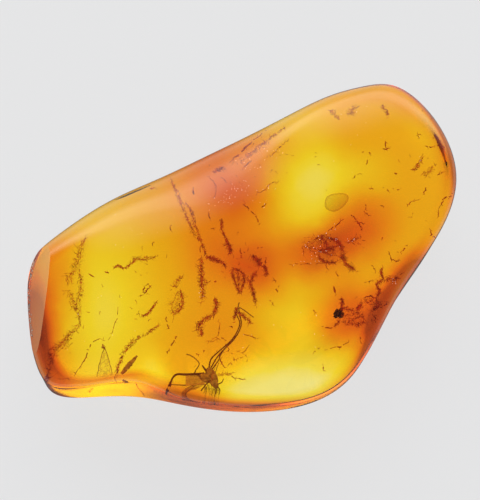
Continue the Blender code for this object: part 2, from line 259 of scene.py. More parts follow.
PHOTO_SIZE = (480, 500)
PIXELS_PER_MM = 12
VIEW_SHIFT = (1.5, 3.8)
CAMERA_ELEVATION = math.radians(79)
LENS, SENSOR = 120.0, 36.0
TARGET = Vector((0, 0, 5)) * MM
RIGHT = Vector((1, 0, 0))
BACK = Vector((0, -math.cos(CAMERA_ELEVATION), math.sin(CAMERA_ELEVATION)))
UP = Vector((0, math.sin(CAMERA_ELEVATION), math.cos(CAMERA_ELEVATION)))
DISTANCE = PHOTO_SIZE[0] / PIXELS_PER_MM * MM * LENS / SENSOR
AIM = TARGET - (RIGHT * VIEW_SHIFT[0] + UP * VIEW_SHIFT[1]) / PIXELS_PER_MM * MM
EYE = AIM + BACK * DISTANCE

# The least amber that covers anything sealed in it
SKIN = 0.12 * MM
# A pixel that misses the pebble moves in by this share of its way to the photograph's middle
INWARD = 0.01

class Beneath:
    """Finds places inside the pebble by the pixel of the photograph that shows them."""

    def __init__(self, context):
        pebble = bpy.data.objects["amber_pebble"]
        self.surface = BVHTree.FromObject(pebble, context.evaluated_depsgraph_get())
        self.bend = 1 / context.scene.amber.refractive_index

    def on_surface(self, px, py):
        """Where the line of sight through a pixel meets the pebble, and how."""
        middle_x, middle_y = PHOTO_SIZE[0] / 2, PHOTO_SIZE[1] / 2
        place = None
        while place is None:
            across = RIGHT * ((px - middle_x) / PIXELS_PER_MM * MM)
            up = UP * ((middle_y - py) / PIXELS_PER_MM * MM)
            ray = (across + up - BACK * DISTANCE).normalized()
            place, normal, _, _ = self.surface.ray_cast(EYE, ray)
            px += (middle_x - px) * INWARD
            py += (middle_y - py) * INWARD
        return place, normal, ray

    def __call__(self, px, py, depth):
        """The place in metres at a depth in millimetres along the bent line of sight."""
        place, normal, ray = self.on_surface(px, py)
        facing = -ray.dot(normal)
        bent = ray * self.bend
        bent += normal * (self.bend * facing - math.sqrt(1 - self.bend**2 * (1 - facing**2)))
        return self.keep_inside(place + bent * depth * MM / -bent.z)

    def keep_inside(self, place):
        nearest, normal, _, _ = self.surface.find_nearest(place)
        if (place - nearest).dot(normal) > -SKIN:
            place = nearest - normal * SKIN
        return place


def start_clean():
    """Object mode with nothing selected, so that an operator acts on new things only."""
    if bpy.context.mode != "OBJECT":
        bpy.ops.object.mode_set(mode="OBJECT")
    bpy.ops.object.select_all(action="DESELECT")


class Nodes:
    """A node tree, laid out by short calls."""

    def __init__(self, tree):
        self.tree = tree

    def add(self, kind, inputs=None, **settings):
        node = self.tree.nodes.new(kind)
        for name, value in settings.items():
            setattr(node, name, value)
        for key, value in (inputs or {}).items():
            if isinstance(value, bpy.types.NodeSocket):
                self.tree.links.new(value, node.inputs[key])
            else:
                node.inputs[key].default_value = value
        return node

    def link(self, output, target):
        self.tree.links.new(output, target)

    def maths(self, operation, *values):
        inputs = dict(enumerate(values))
        return self.add("ShaderNodeMath", inputs, operation=operation).outputs[0]

    def vectors(self, operation, *values):
        inputs = dict(enumerate(values))
        return self.add("ShaderNodeVectorMath", inputs, operation=operation).outputs

    def where(self, kind="Object"):
        """The place in the object's own coordinates, or the kind of coordinates named."""
        return self.add("ShaderNodeTexCoord").outputs[kind]

    def axes(self, kind):
        return self.add("ShaderNodeSeparateXYZ", {0: self.where(kind)}).outputs

    def in_oval(self, where, middle, turn, half_length, half_width):
        """Coordinates that grow from 0 at an oval's middle to 1 at its edge."""
        return self.add(
            "ShaderNodeMapping",
            {"Vector": where, "Location": middle, "Rotation": (0, 0, turn),
             "Scale": (half_length * MM, half_width * MM, 1)},
            vector_type="TEXTURE",
        ).outputs[0]

    def clouds(self, where, scale, detail, roughness):
        return self.add("ShaderNodeTexNoise", {
            "Vector": where, "Scale": scale, "Detail": detail, "Roughness": roughness,
        }).outputs

    def remap(self, value, low, high, to_low=0.0, to_high=1.0, kind="LINEAR"):
        """A value carried from one range to another, and held inside it."""
        return self.add("ShaderNodeMapRange", {
            "Value": value, "From Min": low, "From Max": high, "To Min": to_low,
            "To Max": to_high,
        }, interpolation_type=kind).outputs[0]

    def mix(self, share, low, high):
        return self.add("ShaderNodeMix", {0: share, 2: low, 3: high}).outputs[0]

    def ramp(self, factor, stops):
        """A colour ramp from a list of places and colours."""
        node = self.add("ShaderNodeValToRGB", {"Fac": factor})
        elements = node.color_ramp.elements
        while len(elements) < len(stops):
            elements.new(0.5)
        for element, (place, colour) in zip(elements, stops):
            element.position = place
            element.color = colour
        return node.outputs["Color"]


def new_material(name, **values):
    """A material whose Principled shader gets the given plain values."""
    made = bpy.data.materials.new(name)
    made.use_nodes = True
    nodes = Nodes(made.node_tree)
    shader = made.node_tree.nodes["Principled BSDF"]
    for key, value in values.items():
        shader.inputs[key.replace("_", " ")].default_value = value
    return made, nodes, shader


def effect_group(name, inputs, outputs):
    """An empty shader node group with named inputs and outputs."""
    tree = bpy.data.node_groups.new(name, "ShaderNodeTree")
    for label, kind, default in inputs:
        socket = tree.interface.new_socket(label, in_out="INPUT", socket_type=kind)
        socket.default_value = default
    for label, kind in outputs:
        tree.interface.new_socket(label, in_out="OUTPUT", socket_type=kind)
    start, end = tree.nodes.new("NodeGroupInput"), tree.nodes.new("NodeGroupOutput")
    return tree, Nodes(tree), start.outputs, end.inputs


# The part of the noise over which one finish's dark turns to its light
MOTTLE_EDGES = (0.35, 0.65)


def mottle_group():
    """Dark and light of one finish, mixed in spots, with a height for bump."""
    if "Mottle" in bpy.data.node_groups:
        return bpy.data.node_groups["Mottle"]
    tree, nodes, start, end = effect_group("Mottle", [
        ("Scale", "NodeSocketFloat", 3000.0), ("Dark", "NodeSocketColor", (0, 0, 0, 1)),
        ("Light", "NodeSocketColor", (1, 1, 1, 1)),
    ], [("Colour", "NodeSocketColor"), ("Height", "NodeSocketFloat")])
    spots = nodes.clouds(nodes.where(), start["Scale"], 5.0, 0.65)["Fac"]
    mixed = nodes.add("ShaderNodeMix", {
        "Factor": nodes.remap(spots, *MOTTLE_EDGES), 6: start["Dark"], 7: start["Light"],
    }, data_type="RGBA")
    nodes.link(mixed.outputs[2], end["Colour"])
    nodes.link(spots, end["Height"])
    return tree


# How far the lace's cells are pulled out of shape, in millimetres
LACE_PULL = 0.25
# How far from a cell's edge its thread is full and where it ends, and how opaque it is
THREAD_EDGES = (0.02, 0.14)
THREAD_ALPHA = 0.75
# How soft the edges of the closed patches are, and of the gaps in the lace
PATCH_EDGES = (0.02, 0.12)
GAP_EDGES = (0.62, 0.5)


def lace_group():
    """Holes that leave a lace of fine threads, for cracks, veils and wings."""
    if "Lace" in bpy.data.node_groups:
        return bpy.data.node_groups["Lace"]
    tree, nodes, start, end = effect_group("Lace", [
        ("Scale", "NodeSocketFloat", 4000.0), ("Cover", "NodeSocketFloat", 0.5),
    ], [("Alpha", "NodeSocketFloat")])
    where = nodes.where()
    drift = nodes.clouds(where, start["Scale"], 4.0, 0.7)
    pulled = nodes.vectors("MULTIPLY_ADD", drift["Color"], (LACE_PULL * MM,) * 3, where)[0]
    cells = nodes.add("ShaderNodeTexVoronoi", {"Vector": pulled, "Scale": start["Scale"]},
                      feature="DISTANCE_TO_EDGE").outputs["Distance"]
    threads = nodes.remap(cells, *THREAD_EDGES, 1.0, 0.0)
    closed = nodes.maths("SUBTRACT", start["Cover"], drift["Fac"])
    patches = nodes.remap(closed, *PATCH_EDGES)
    both = nodes.maths("MAXIMUM", nodes.maths("MULTIPLY", threads, THREAD_ALPHA), patches)
    kept = nodes.maths("MULTIPLY", both, nodes.remap(drift["Fac"], *GAP_EDGES))
    nodes.link(nodes.maths("MAXIMUM", kept, patches), end["Alpha"])
    return tree


def place_group(nodes, tree, **inputs):
    """An effect group in a material, with its own values. Returns its outputs."""
    node = nodes.add("ShaderNodeGroup", node_tree=tree)
    for name, value in inputs.items():
        node.inputs[name].default_value = value
    return node.outputs


def laced(scale, cover, least, most):
    """Lays out the alpha of a lacy finish, between its least and its most."""
    def alpha(nodes):
        lace = place_group(nodes, lace_group(), Scale=scale, Cover=cover)
        return nodes.remap(lace["Alpha"], 0, 1, least, most)
    return alpha


# The height of a finish's relief
RELIEF = 0.1 * MM


def mottled_material(name, dark, light, scale, bump=0.0, glow=0.0, alpha=None, **values):
    """A finish of dark and light spots with a slight relief.

    glow is painted light, the piece's own emission standing in for the light that shines
    through a thin piece from the pale floor below, and alpha lays out the nodes of a
    see-through finish.
    """
    made, nodes, shader = new_material(name, **values)
    mottle = place_group(nodes, mottle_group(), Scale=scale, Dark=dark, Light=light)
    nodes.link(mottle["Colour"], shader.inputs["Base Color"])
    if glow:
        nodes.link(mottle["Colour"], shader.inputs["Emission Color"])
        shader.inputs["Emission Strength"].default_value = glow
    if bump:
        relief = nodes.add("ShaderNodeBump", {
            "Height": mottle["Height"], "Strength": bump, "Distance": RELIEF})
        nodes.link(relief.outputs[0], shader.inputs["Normal"])
    if alpha:
        nodes.link(alpha(nodes), shader.inputs["Alpha"])
    return made


# The amber's zones of colour, mostly its own. The paler zones on the left part, at the back
# and along the front also paint pools of light that the clear amber gathers from the floor
# below, the lens on the left shoulder is a painted highlight, and the dark zone on the right
# edge is painted shade. Each is a soft oval: x, y, half length and half width in
# millimetres, turn in degrees, and how much deeper than the rest it is at its middle.
COLOUR_ZONES = {
    "painted light pool on the lemon left part": (-11.0, -5.5, 7.0, 11.0, 0, -0.3),
    "painted light pool at the back": (5.5, 4.5, 4.6, 6.0, 0, -0.35),
    "its wing to the right": (9.0, 6.0, 5.0, 3.0, -10, -0.15),
    "gold back right": (5.0, 10.0, 4.0, 4.5, 0, -0.1),
    "gold right end": (16.5, 10.0, 4.0, 4.0, 0, -0.1),
    "yellow in front of the middle": (4.0, -6.0, 4.5, 5.0, 0, -0.2),
    "painted light pool along the pale front": (3.0, -12.0, 10.5, 4.5, 10, -0.6),
    "yellow left of the gnat": (-7.0, -11.0, 2.5, 2.5, 0, -0.3),
    "painted lens highlight on the left shoulder": (-10.5, -13.0, 4.0, 1.5, 0, -0.1),
    "haze along the back edge": (-1.0, 6.0, 8.5, 4.5, 25, 0.22),
    "haze in its middle": (0.2, 3.6, 4.5, 3.0, 0, 0.2),
    "rust middle": (-1.5, 0.0, 5.0, 5.5, 0, 0.2),
    "deepest rust middle": (1.5, -2.8, 3.6, 2.6, -20, 0.25),
    "band to the right": (4.0, -1.0, 10.0, 2.5, 5, 0.2),
    "rust patch": (7.5, 0.0, 5.0, 3.0, 25, 0.32),
    "orange right of it": (10.3, 2.0, 4.0, 3.0, 0, 0.2),
    "orange in front of the middle": (-1.5, -7.0, 4.0, 5.0, 0, 0.08),
    "red right front": (12.8, -4.0, 5.5, 2.8, 55, 0.5),
    "red round the crumb": (9.0, -6.0, 4.5, 3.5, 10, 0.35),
    "maroon right front edge": (11.8, -6.8, 3.4, 1.8, 60, 0.8),
    "maroon left end": (-17.0, -8.0, 3.2, 8.0, 0, 0.55),
    "orange beside the facet": (-15.0, -3.5, 3.5, 6.5, -10, 0.22),
    "brown under the gnat": (-3.5, -12.5, 3.0, 1.5, -10, 0.15),
    "painted shade on the right edge": (17.5, 6.5, 1.0, 4.5, 0, 0.2),
}


# The grain of the zones' ragged edges, per metre, and how far it moves them, in millimetres
ZONE_GRAIN = 220.0
ZONE_DRIFT = 2.5
# The zones' middles lie half way up the pebble, and they reach through it
ZONE_LEVEL = 5


def amber_material(settings):
    made, nodes, shader = new_material(
        "polished_amber", Transmission_Weight=1.0, IOR=settings.refractive_index,
        Roughness=settings.roughness,
    )
    where = nodes.where()
    drift = nodes.clouds(where, ZONE_GRAIN, 3.0, 0.55)["Color"]
    drift = nodes.vectors("SUBTRACT", drift, (0.5, 0.5, 0.5))[0]
    where = nodes.vectors("MULTIPLY_ADD", drift, (ZONE_DRIFT * MM,) * 3, where)[0]
    # The painted shade of the rim deepens the colour along the edges
    rim = nodes.add("ShaderNodeAttribute", attribute_name="painted_rim_shade").outputs["Fac"]
    total = nodes.maths("ADD", rim, settings.depth)
    for x, y, half_length, half_width, turn, amount in COLOUR_ZONES.values():
        middle = spot(x, y, ZONE_LEVEL)
        zone = nodes.in_oval(where, middle, math.radians(turn), half_length, half_width)
        ball = nodes.add("ShaderNodeTexGradient", {"Vector": zone}, gradient_type="SPHERICAL")
        soft = nodes.remap(ball.outputs["Fac"], 0, 1, kind="SMOOTHSTEP")
        total = nodes.maths("MULTIPLY_ADD", soft, amount, total)
    colour = nodes.ramp(total, [
        (0.0, settings.pale), (0.2, settings.lemon), (0.4, settings.gold),
        (0.6, settings.orange), (0.8, settings.rust), (1.0, settings.maroon),
    ])
    nodes.link(colour, shader.inputs["Base Color"])
    absorption = nodes.add("ShaderNodeVolumeAbsorption", {
        "Color": settings.body_colour, "Density": settings.density,
    })
    output = made.node_tree.nodes["Material Output"]
    nodes.link(absorption.outputs[0], output.inputs["Volume"])
    return made


def colour_property(name, description, default):
    return bpy.props.FloatVectorProperty(
        name=name, description=description, default=default, size=4, min=0, max=1,
        subtype="COLOR")


def number_property(name, description, default, low=0.0, **more):
    return bpy.props.FloatProperty(
        name=name, description=description, default=default, min=low, **more)


def length_property(name, description, default):
    return number_property(name, description, default, subtype="DISTANCE", unit="LENGTH")


class AmberSettings(bpy.types.PropertyGroup):
    refractive_index: number_property(
        "Refractive index", "How strongly the amber bends light", 1.54, 1.0, max=2.0)
    roughness: number_property(
        "Roughness", "Blur of the polish", 0.03, max=1.0, subtype="FACTOR")
    depth: number_property(
        "Depth of colour", "From pale, 0, to maroon, 1", 0.46, max=1.0, subtype="FACTOR")
    density: number_property(
        "Absorption density", "Absorption per metre of clear amber", 160.0)
    body_colour: colour_property(
        "Body colour", "What the amber lets through", (0.99, 0.89, 0.04, 1))
    pale: colour_property("Pale", "Palest tint", (1.0, 1.0, 0.7, 1))
    lemon: colour_property("Lemon", "Yellow tint", (1.0, 0.85, 0.07, 1))
    gold: colour_property("Gold", "Golden tint", (0.94, 0.56, 0.02, 1))
    orange: colour_property("Orange", "Orange tint", (0.9, 0.31, 0.015, 1))
    rust: colour_property("Rust", "Rust-brown tint", (0.78, 0.13, 0.018, 1))
    maroon: colour_property("Maroon", "Deepest tint", (0.3, 0.04, 0.02, 1))


class GnatSettings(bpy.types.PropertyGroup):
    trunk_dark: colour_property("Trunk shade", "Dark of the trunk", (0.22, 0.07, 0.02, 1))
    trunk_light: colour_property("Trunk", "Light of the trunk", (0.62, 0.3, 0.12, 1))
    limb_colour: colour_property(
        "Limbs", "Colour of legs and feelers", (0.16, 0.045, 0.015, 1))
    wing_colour: colour_property("Wing", "Colour of the wing", (0.75, 0.42, 0.18, 1))
    hair_thickness: length_property("Hair thickness", "Radius of a hair", 0.008 * MM)
    hairs: bpy.props.IntProperty(
        name="Hairs", description="Hairs that fan out below the head", default=55, min=0)


class PlantSettings(bpy.types.PropertyGroup):
    leaf_dark: colour_property("Leaf shade", "Dark of the leaf", (0.26, 0.1, 0.03, 1))
    leaf_light: colour_property("Leaf", "Light of the leaf", (0.6, 0.27, 0.09, 1))
    needle_colour: colour_property("Needle", "Colour of the needle", (0.1, 0.04, 0.01, 1))
    bark_dark: colour_property(
        "Bark shade", "Dark of the bark crumb", (0.01, 0.005, 0.004, 1))
    bark_light: colour_property("Bark", "Light of the bark crumb", (0.16, 0.1, 0.07, 1))


class CrackSettings(bpy.types.PropertyGroup):
    dark: colour_property("Crack shade", "Dark of the cracks", (0.2, 0.025, 0.006, 1))
    light: colour_property("Crack", "Light of the cracks", (0.6, 0.13, 0.03, 1))
    # The sparkle colour is that of the painted glints
    sparkle: colour_property("Sparkle", "Colour of the bright flecks", (0.95, 0.72, 0.62, 1))
    crust_dark: colour_property("Crust shade", "Dark of the end crust", (0.1, 0.05, 0.035, 1))
    crust_light: colour_property("Crust", "Light of the end crust", (0.75, 0.62, 0.52, 1))


class StageSettings(bpy.types.PropertyGroup):
    floor_size: length_property("Floor size", "Side of the square floor", 2.0)
    floor_glow: number_property("Floor glow", "Light that the floor gives off", 0.72)
    zenith: number_property("Zenith light", "Brightness straight above", 0.12)
    horizon: number_property("Horizon light", "Brightness low all round", 0.35)
    back_light: number_property("Back light", "Brightness of the wall behind", 2.6)
def finish_piece(piece, material):
    """Everything that a shown piece needs once its shape is done."""
    start_clean()
    piece.data.materials.clear()
    piece.data.materials.append(material)
    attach(piece, "root")
    return piece


def named(piece, name):
    piece.name = piece.data.name = name
    return piece


def joined(pieces, name):
    """Several new pieces as one, with its place in its mesh."""
    start_clean()
    for piece in pieces:
        piece.select_set(True)
    bpy.context.view_layer.objects.active = pieces[0]
    if len(pieces) > 1:
        bpy.ops.object.join()
    bpy.ops.object.transform_apply(location=True, rotation=True, scale=True)
    return named(pieces[0], name)


def applied(piece, kind, **settings):
    """Adds a modifier to a piece and applies it."""
    start_clean()
    piece.select_set(True)
    bpy.context.view_layer.objects.active = piece
    modifier = piece.modifiers.new(kind.title(), kind)
    for name, value in settings.items():
        setattr(modifier, name, value)
    bpy.ops.object.modifier_apply(modifier=modifier.name)
    return piece


def facing_out(piece, angle=None):
    """Merges doubles, points faces outwards and shades the piece smooth."""
    start_clean()
    piece.select_set(True)
    bpy.context.view_layer.objects.active = piece
    bpy.ops.object.mode_set(mode="EDIT")
    bpy.ops.mesh.select_all(action="SELECT")
    bpy.ops.mesh.remove_doubles(threshold=SHORTEST)
    bpy.ops.mesh.normals_make_consistent(inside=False)
    bpy.ops.object.mode_set(mode="OBJECT")
    if angle is None:
        bpy.ops.object.shade_smooth()
    else:
        bpy.ops.object.shade_smooth_by_angle(angle=angle)
    return piece


def strands(name, lines, sides=6):
    """Round threads as one mesh, each a list of places in metres with a radius."""
    start_clean()
    curve = bpy.data.curves.new(name, "CURVE")
    curve.dimensions = "3D"
    curve.bevel_depth = MM
    curve.bevel_resolution = sides // 2 - 2
    curve.use_fill_caps = True
    for line in lines:
        spline = curve.splines.new("POLY")
        spline.points.add(len(line) - 1)
        for point, (place, radius) in zip(spline.points, line):
            point.co = (*place, 1)
            point.radius = radius / MM
    piece = bpy.data.objects.new(name, curve)
    bpy.context.collection.objects.link(piece)
    piece.select_set(True)
    bpy.context.view_layer.objects.active = piece
    bpy.ops.object.convert(target="MESH")
    return facing_out(named(bpy.context.object, name))


def tapered(path, thick, thin, per_span=4):
    """A smooth limb through places on the gnat, with its radius falling from end to end."""
    rows = open_curve(path, per_span)
    steps = len(rows) - 1
    return [
        (on_gnat(*row), (thick + (thin - thick) * i / steps) * MM)
        for i, row in enumerate(rows)
    ]


def egg(start, end, radius, flat):
    """An egg-shaped lump between two places on the gnat."""
    start, end = on_gnat(*start), on_gnat(*end)
    along = end - start
    turn = Vector((1, 0, 0)).rotation_difference(along).to_euler()
    bpy.ops.mesh.primitive_uv_sphere_add(
        segments=32, ring_count=20, radius=1, location=(start + end) / 2, rotation=turn,
        scale=(along.length / 2, radius * MM, radius * flat * MM))
    return bpy.context.object


def grown_together(eggs, name, voxel):
    """Overlapping eggs as one smooth skin."""
    start_clean()
    lump = joined([egg(*row) for row in eggs], name)
    applied(lump, "REMESH", mode="VOXEL", voxel_size=voxel * MM)
    applied(lump, "SMOOTH", factor=0.6, iterations=4)
    return facing_out(lump)


def shaped_grid(across, along, shape):
    """A grid whose points are placed by shape(u, v), each from 0 to 1."""
    start_clean()
    bpy.ops.mesh.primitive_grid_add(x_subdivisions=along, y_subdivisions=across, size=1)
    piece = bpy.context.object
    for vert in piece.data.vertices:
        vert.co = shape(vert.co.x + 0.5, vert.co.y + 0.5)
    return piece

def drawn(rng, *spans):
    """A vector with each part drawn between two values."""
    return Vector([rng.uniform(*span) for span in spans])


def beside(rng, px, py, spread_x, spread_y):
    """A pixel drawn near another."""
    return np.array((rng.gauss(px, spread_x), rng.gauss(py, spread_y)))
class OBJECT_OT_amber_pebble(bpy.types.Operator):
    """Build the clear pebble, one solid in place of the two halves"""
    bl_idname = "object.amber_pebble"
    bl_label = "Amber Pebble"
    bl_options = {"REGISTER", "UNDO"}

    def execute(self, context):
        settings = context.scene.amber
        sections = [wall_section(*rim) for rim in closed_curve(RIM, AROUND)]
        rows = len(sections[0]) - 1
        start_clean()
        bpy.ops.mesh.primitive_uv_sphere_add(
            segments=AROUND, ring_count=rows, radius=1, location=(0, 0, 0))
        pebble = named(context.object, "amber_pebble")
        # The painted rim shade of each point, taken from its section
        depth = pebble.data.attributes.new("painted_rim_shade", "FLOAT", "POINT")
        for vert in pebble.data.vertices:
            turn = math.atan2(vert.co.y, vert.co.x) / (2 * math.pi) * AROUND
            row = (1 - math.acos(max(-1, min(1, vert.co.z))) / math.pi) * rows
            *place, deeper = sections[round(turn) % AROUND][round(row)]
            vert.co = spot(*place)
            depth.data[vert.index].value = deeper
        bpy.ops.object.mode_set(mode="EDIT")
        for point, facing in ((FACET_POINT, FACET_FACING), (-SHIFT, (0, 0, -1))):
            bpy.ops.mesh.select_all(action="SELECT")
            bpy.ops.mesh.bisect(
                plane_co=spot(*point), plane_no=facing, use_fill=True, clear_outer=True,
                threshold=SHORTEST)
        bpy.ops.mesh.select_all(action="SELECT")
        bpy.ops.mesh.normals_make_consistent(inside=False)
        bpy.ops.object.mode_set(mode="OBJECT")
        bpy.ops.object.shade_smooth_by_angle(angle=CREASE)
        finish_piece(pebble, amber_material(settings))
        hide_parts("amber_upper", "amber_lower")
        return {"FINISHED"}


# The gnat's trunk and tail, as lumps that overlap: start, end, radius, flattening
TRUNK = [
    ((-3.02, -10.55, 7.0), (-2.35, -12.0, 6.9), 0.42, 0.95),
    ((-3.75, -11.1, 6.9), (-2.6, -11.65, 6.95), 0.36, 0.9),
    ((-2.85, -11.45, 6.85), (-2.2, -12.15, 6.8), 0.27, 1.0),
]
ABDOMEN = [
    ((-3.2, -11.7, 6.85), (-4.45, -12.3, 6.75), 0.2, 0.8),
    ((-4.1, -12.0, 6.8), (-5.0, -12.5, 6.75), 0.2, 0.6),
]
# Legs, feelers and the beak: the radius at each end, then the points from the trunk out
LIMBS = [
    (0.06, 0.035, [(-2.95, -10.75, 7.0), (-2.75, -9.9, 7.05), (-2.1, -9.25, 7.1),
                 (-1.05, -8.3, 7.1), (-0.45, -7.1, 7.05), (-0.7, -6.3, 7.0),
                 (-0.5, -5.35, 6.95)]),
    (0.055, 0.035, [(-2.9, -10.8, 6.9), (-2.3, -9.75, 6.8), (-1.75, -9.1, 6.8),
                  (-0.9, -8.25, 6.85), (-0.35, -7.2, 6.9), (-0.45, -6.3, 6.85),
                  (-0.45, -5.75, 6.8), (0.65, -6.5, 6.75)]),
    (0.05, 0.03, [(-2.8, -10.85, 7.1), (-2.2, -10.1, 7.25), (-1.95, -9.5, 7.3),
                  (-1.5, -8.9, 7.25), (-0.8, -8.05, 7.2)]),
    (0.11, 0.07, [(-3.3, -11.05, 7.0), (-4.2, -11.1, 7.05), (-4.85, -11.12, 7.05),
                  (-5.45, -11.1, 7.0), (-5.78, -11.35, 6.95), (-5.93, -11.7, 6.9)]),
    (0.06, 0.13, [(-5.92, -11.6, 6.9), (-5.98, -11.8, 6.9), (-6.05, -12.0, 6.85)]),
    (0.04, 0.03, [(-3.5, -11.35, 7.1), (-4.05, -11.0, 7.2), (-3.68, -10.3, 7.3),
                  (-4.2, -9.75, 7.3), (-4.7, -9.5, 7.2)]),
    (0.07, 0.05, [(-2.65, -11.5, 7.15), (-3.1, -11.9, 7.3), (-3.55, -12.45, 7.25)]),
    (0.03, 0.02, [(-2.5, -11.2, 7.1), (-2.38, -10.9, 7.25), (-2.12, -10.2, 7.35)]),
    (0.13, 0.05, [(-3.05, -10.9, 7.05), (-3.2, -10.75, 7.1), (-3.46, -10.4, 7.15)]),
    (0.06, 0.03, [(-3.3, -11.75, 6.75), (-4.6, -11.9, 6.6), (-6.1, -11.85, 6.55)]),
    (0.05, 0.03, [(-2.3, -11.9, 6.95), (-1.9, -11.75, 7.1), (-1.75, -11.45, 7.15)]),
    (0.05, 0.02, [(-2.35, -12.0, 6.9), (-2.05, -12.3, 6.95), (-2.1, -12.7, 6.95)]),
    (0.05, 0.02, [(-2.4, -12.0, 6.8), (-2.35, -12.4, 6.75), (-2.5, -12.85, 6.75)]),
]
# The wing's corners, from its root forward and round, how thick it is and how it ripples
WING = [(-3.3, -10.95, 7.0), (-4.75, -11.2, 7.05), (-4.75, -12.0, 6.95), (-3.2, -11.9, 6.95)]
WING_THICKNESS = 0.05
WING_RIPPLE = 0.06
WING_CREASE = math.radians(40)
# Where on the wing each vein starts and ends, and the radius of a vein at root and tip
WING_VEINS = [(0.0, 0.02), (0.25, 0.2), (0.45, 0.5), (0.6, 0.75), (1.0, 0.97)]
VEIN_STEPS = 10
VEIN_ROOT, VEIN_TIP = 0.028, 0.016
HEAD = (-2.3, -12.05, 6.85)
# The head's hairs: where round it they start, how they lean, rise and bow, and how long
HAIR_ROOTS = ((-1.1, 0.2), (-0.12, 0.2), (-0.15, 0.15))
HAIR_LEAN, HAIR_RISE, HAIR_BOW = (-0.6, 0.25), (-0.2, 0.3), (-0.09, 0.09)
HAIR_LENGTH = (0.4, 1.0)
# The fine hairs of the tail: how far round it they start, how far on they end, and their
# radius at each end
TAIL = (-3.9, -11.9, 6.8)
TAIL_HAIRS = 16
TAIL_ROOTS, TAIL_TIPS = (-0.21, 0.21), ((-1.3, -0.7), (-1.0, -0.2))
TAIL_HAIR = (0.016, 0.006)
# The bristles of the legs: how long they are, and their radius at each end
BRISTLY_LIMBS = 6
BRISTLE_LENGTH = 0.16
BRISTLE = (0.009, 0.004)


def on_wing(u, v):
    """A place on the wing, u from root to tip and v from its fore to its hind edge."""
    fore, tip_fore, tip_hind, hind = (np.array(corner) for corner in WING)
    place = (fore * (1 - u) + tip_fore * u) * (1 - v) + (hind * (1 - u) + tip_hind * u) * v
    place[2] += WING_RIPPLE * math.sin(u * 9) * math.sin(v * 6)
    return on_gnat(*place)


class OBJECT_OT_amber_gnat(bpy.types.Operator):
    """Build the gnat: its trunk, tail, limbs, wing and hairs"""
    bl_idname = "object.amber_gnat"
    bl_label = "Gnat"
    bl_options = {"REGISTER", "UNDO"}

    def execute(self, context):
        settings = context.scene.amber_gnat
        trunk = grown_together(TRUNK, "gnat_trunk", voxel=0.035)
        finish_piece(trunk, mottled_material(
            "gnat_trunk", settings.trunk_dark, settings.trunk_light, 3500, bump=0.6, glow=0.4,
            Roughness=0.55))
        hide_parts("gnat")
        tail = grown_together(ABDOMEN, "gnat_tail", voxel=0.03)
        finish_piece(tail, mottled_material(
            "gnat_tail", settings.trunk_light, settings.wing_colour, 2500, bump=0.4, glow=0.3,
            Roughness=0.45, Alpha=0.35))
        limb_finish = mottled_material(
            "gnat_limbs", settings.limb_colour, settings.trunk_dark, 1800, glow=0.4,
            Roughness=0.5)
        limbs = [tapered(path, thick, thin) for thick, thin, path in LIMBS]
        finish_piece(strands("gnat_limbs", limbs, sides=8), limb_finish)
        self.make_wing(settings)
        self.make_hairs(settings, limb_finish)
        return {"FINISHED"}

    def make_wing(self, settings):
        wing = named(shaped_grid(12, 20, on_wing), "gnat_wing")
        applied(wing, "SOLIDIFY", thickness=WING_THICKNESS * MM, offset=0)
        finish_piece(facing_out(wing, WING_CREASE), mottled_material(
            "gnat_wing", settings.trunk_light, settings.wing_colour, 2200, glow=0.4,
            alpha=laced(2600.0, cover=0.5, least=0.55, most=0.85), Roughness=0.35))
        veins = []
        for root, tip in WING_VEINS:
            veins.append([])
            for step in range(VEIN_STEPS + 1):
                u = step / VEIN_STEPS
                radius = VEIN_ROOT - (VEIN_ROOT - VEIN_TIP) * u
                veins[-1].append((on_wing(u, root + (tip - root) * u), radius * MM))
        veins.append([(on_wing(1.0, v / 8), VEIN_TIP * MM) for v in range(9)])
        finish_piece(strands("gnat_veins", veins), mottled_material(
            "gnat_veins", settings.trunk_dark, settings.trunk_light, 2400, glow=0.4,
            Roughness=0.5))

    def make_hairs(self, settings, finish):
        rng = random.Random(4)
        thin = settings.hair_thickness / MM
        hairs = []
        for _ in range(settings.hairs):
            root = Vector(HEAD) + drawn(rng, *HAIR_ROOTS)
            lean = rng.uniform(*HAIR_LEAN)
            length = rng.uniform(*HAIR_LENGTH)
            tip = root + Vector((lean, -1, rng.uniform(*HAIR_RISE))).normalized() * length
            bow = (root + tip) / 2 + drawn(rng, HAIR_BOW, HAIR_BOW, HAIR_BOW)
            hairs.append(tapered([root, bow, tip], thin * 1.3, thin * 0.6, 3))
        for _ in range(TAIL_HAIRS):
            root = Vector(TAIL) + drawn(rng, TAIL_ROOTS, TAIL_ROOTS, TAIL_ROOTS)
            tip = root + drawn(rng, *TAIL_TIPS).to_3d()
            hairs.append(tapered([root, (root + tip) / 2, tip], *TAIL_HAIR, 3))
        for _, _, path in LIMBS[:BRISTLY_LIMBS]:
            rows = open_curve(path, 8)
            for a, b in zip(rows, rows[1:]):
                along = Vector(b - a).normalized()
                for side in (-1, 1):
                    out = Vector((-along.y, along.x, rng.uniform(-0.5, 0.5))) * side
                    tip = Vector(a) + (out.normalized() + along) * BRISTLE_LENGTH * rng.random()
                    hairs.append(tapered([a, tip], *BRISTLE, 1))
        finish_piece(strands("gnat_hairs", hairs, sides=4), finish)


# The leaf flake's spine with its half width, and the needle's with its radius
LEAF_SPINE = [(-8.25, -9.4, 7.3, 0.06), (-8.75, -9.95, 7.0, 0.2), (-9.15, -10.4, 6.75, 0.17),
              (-9.55, -10.85, 6.5, 0.06)]
NEEDLE_SPINE = [(-10.1, 3.1, 6.75, 0.05), (-9.3, 3.4, 6.7, 0.13), (-8.4, 3.8, 6.65, 0.1),
                (-7.3, 4.3, 6.55, 0.04)]
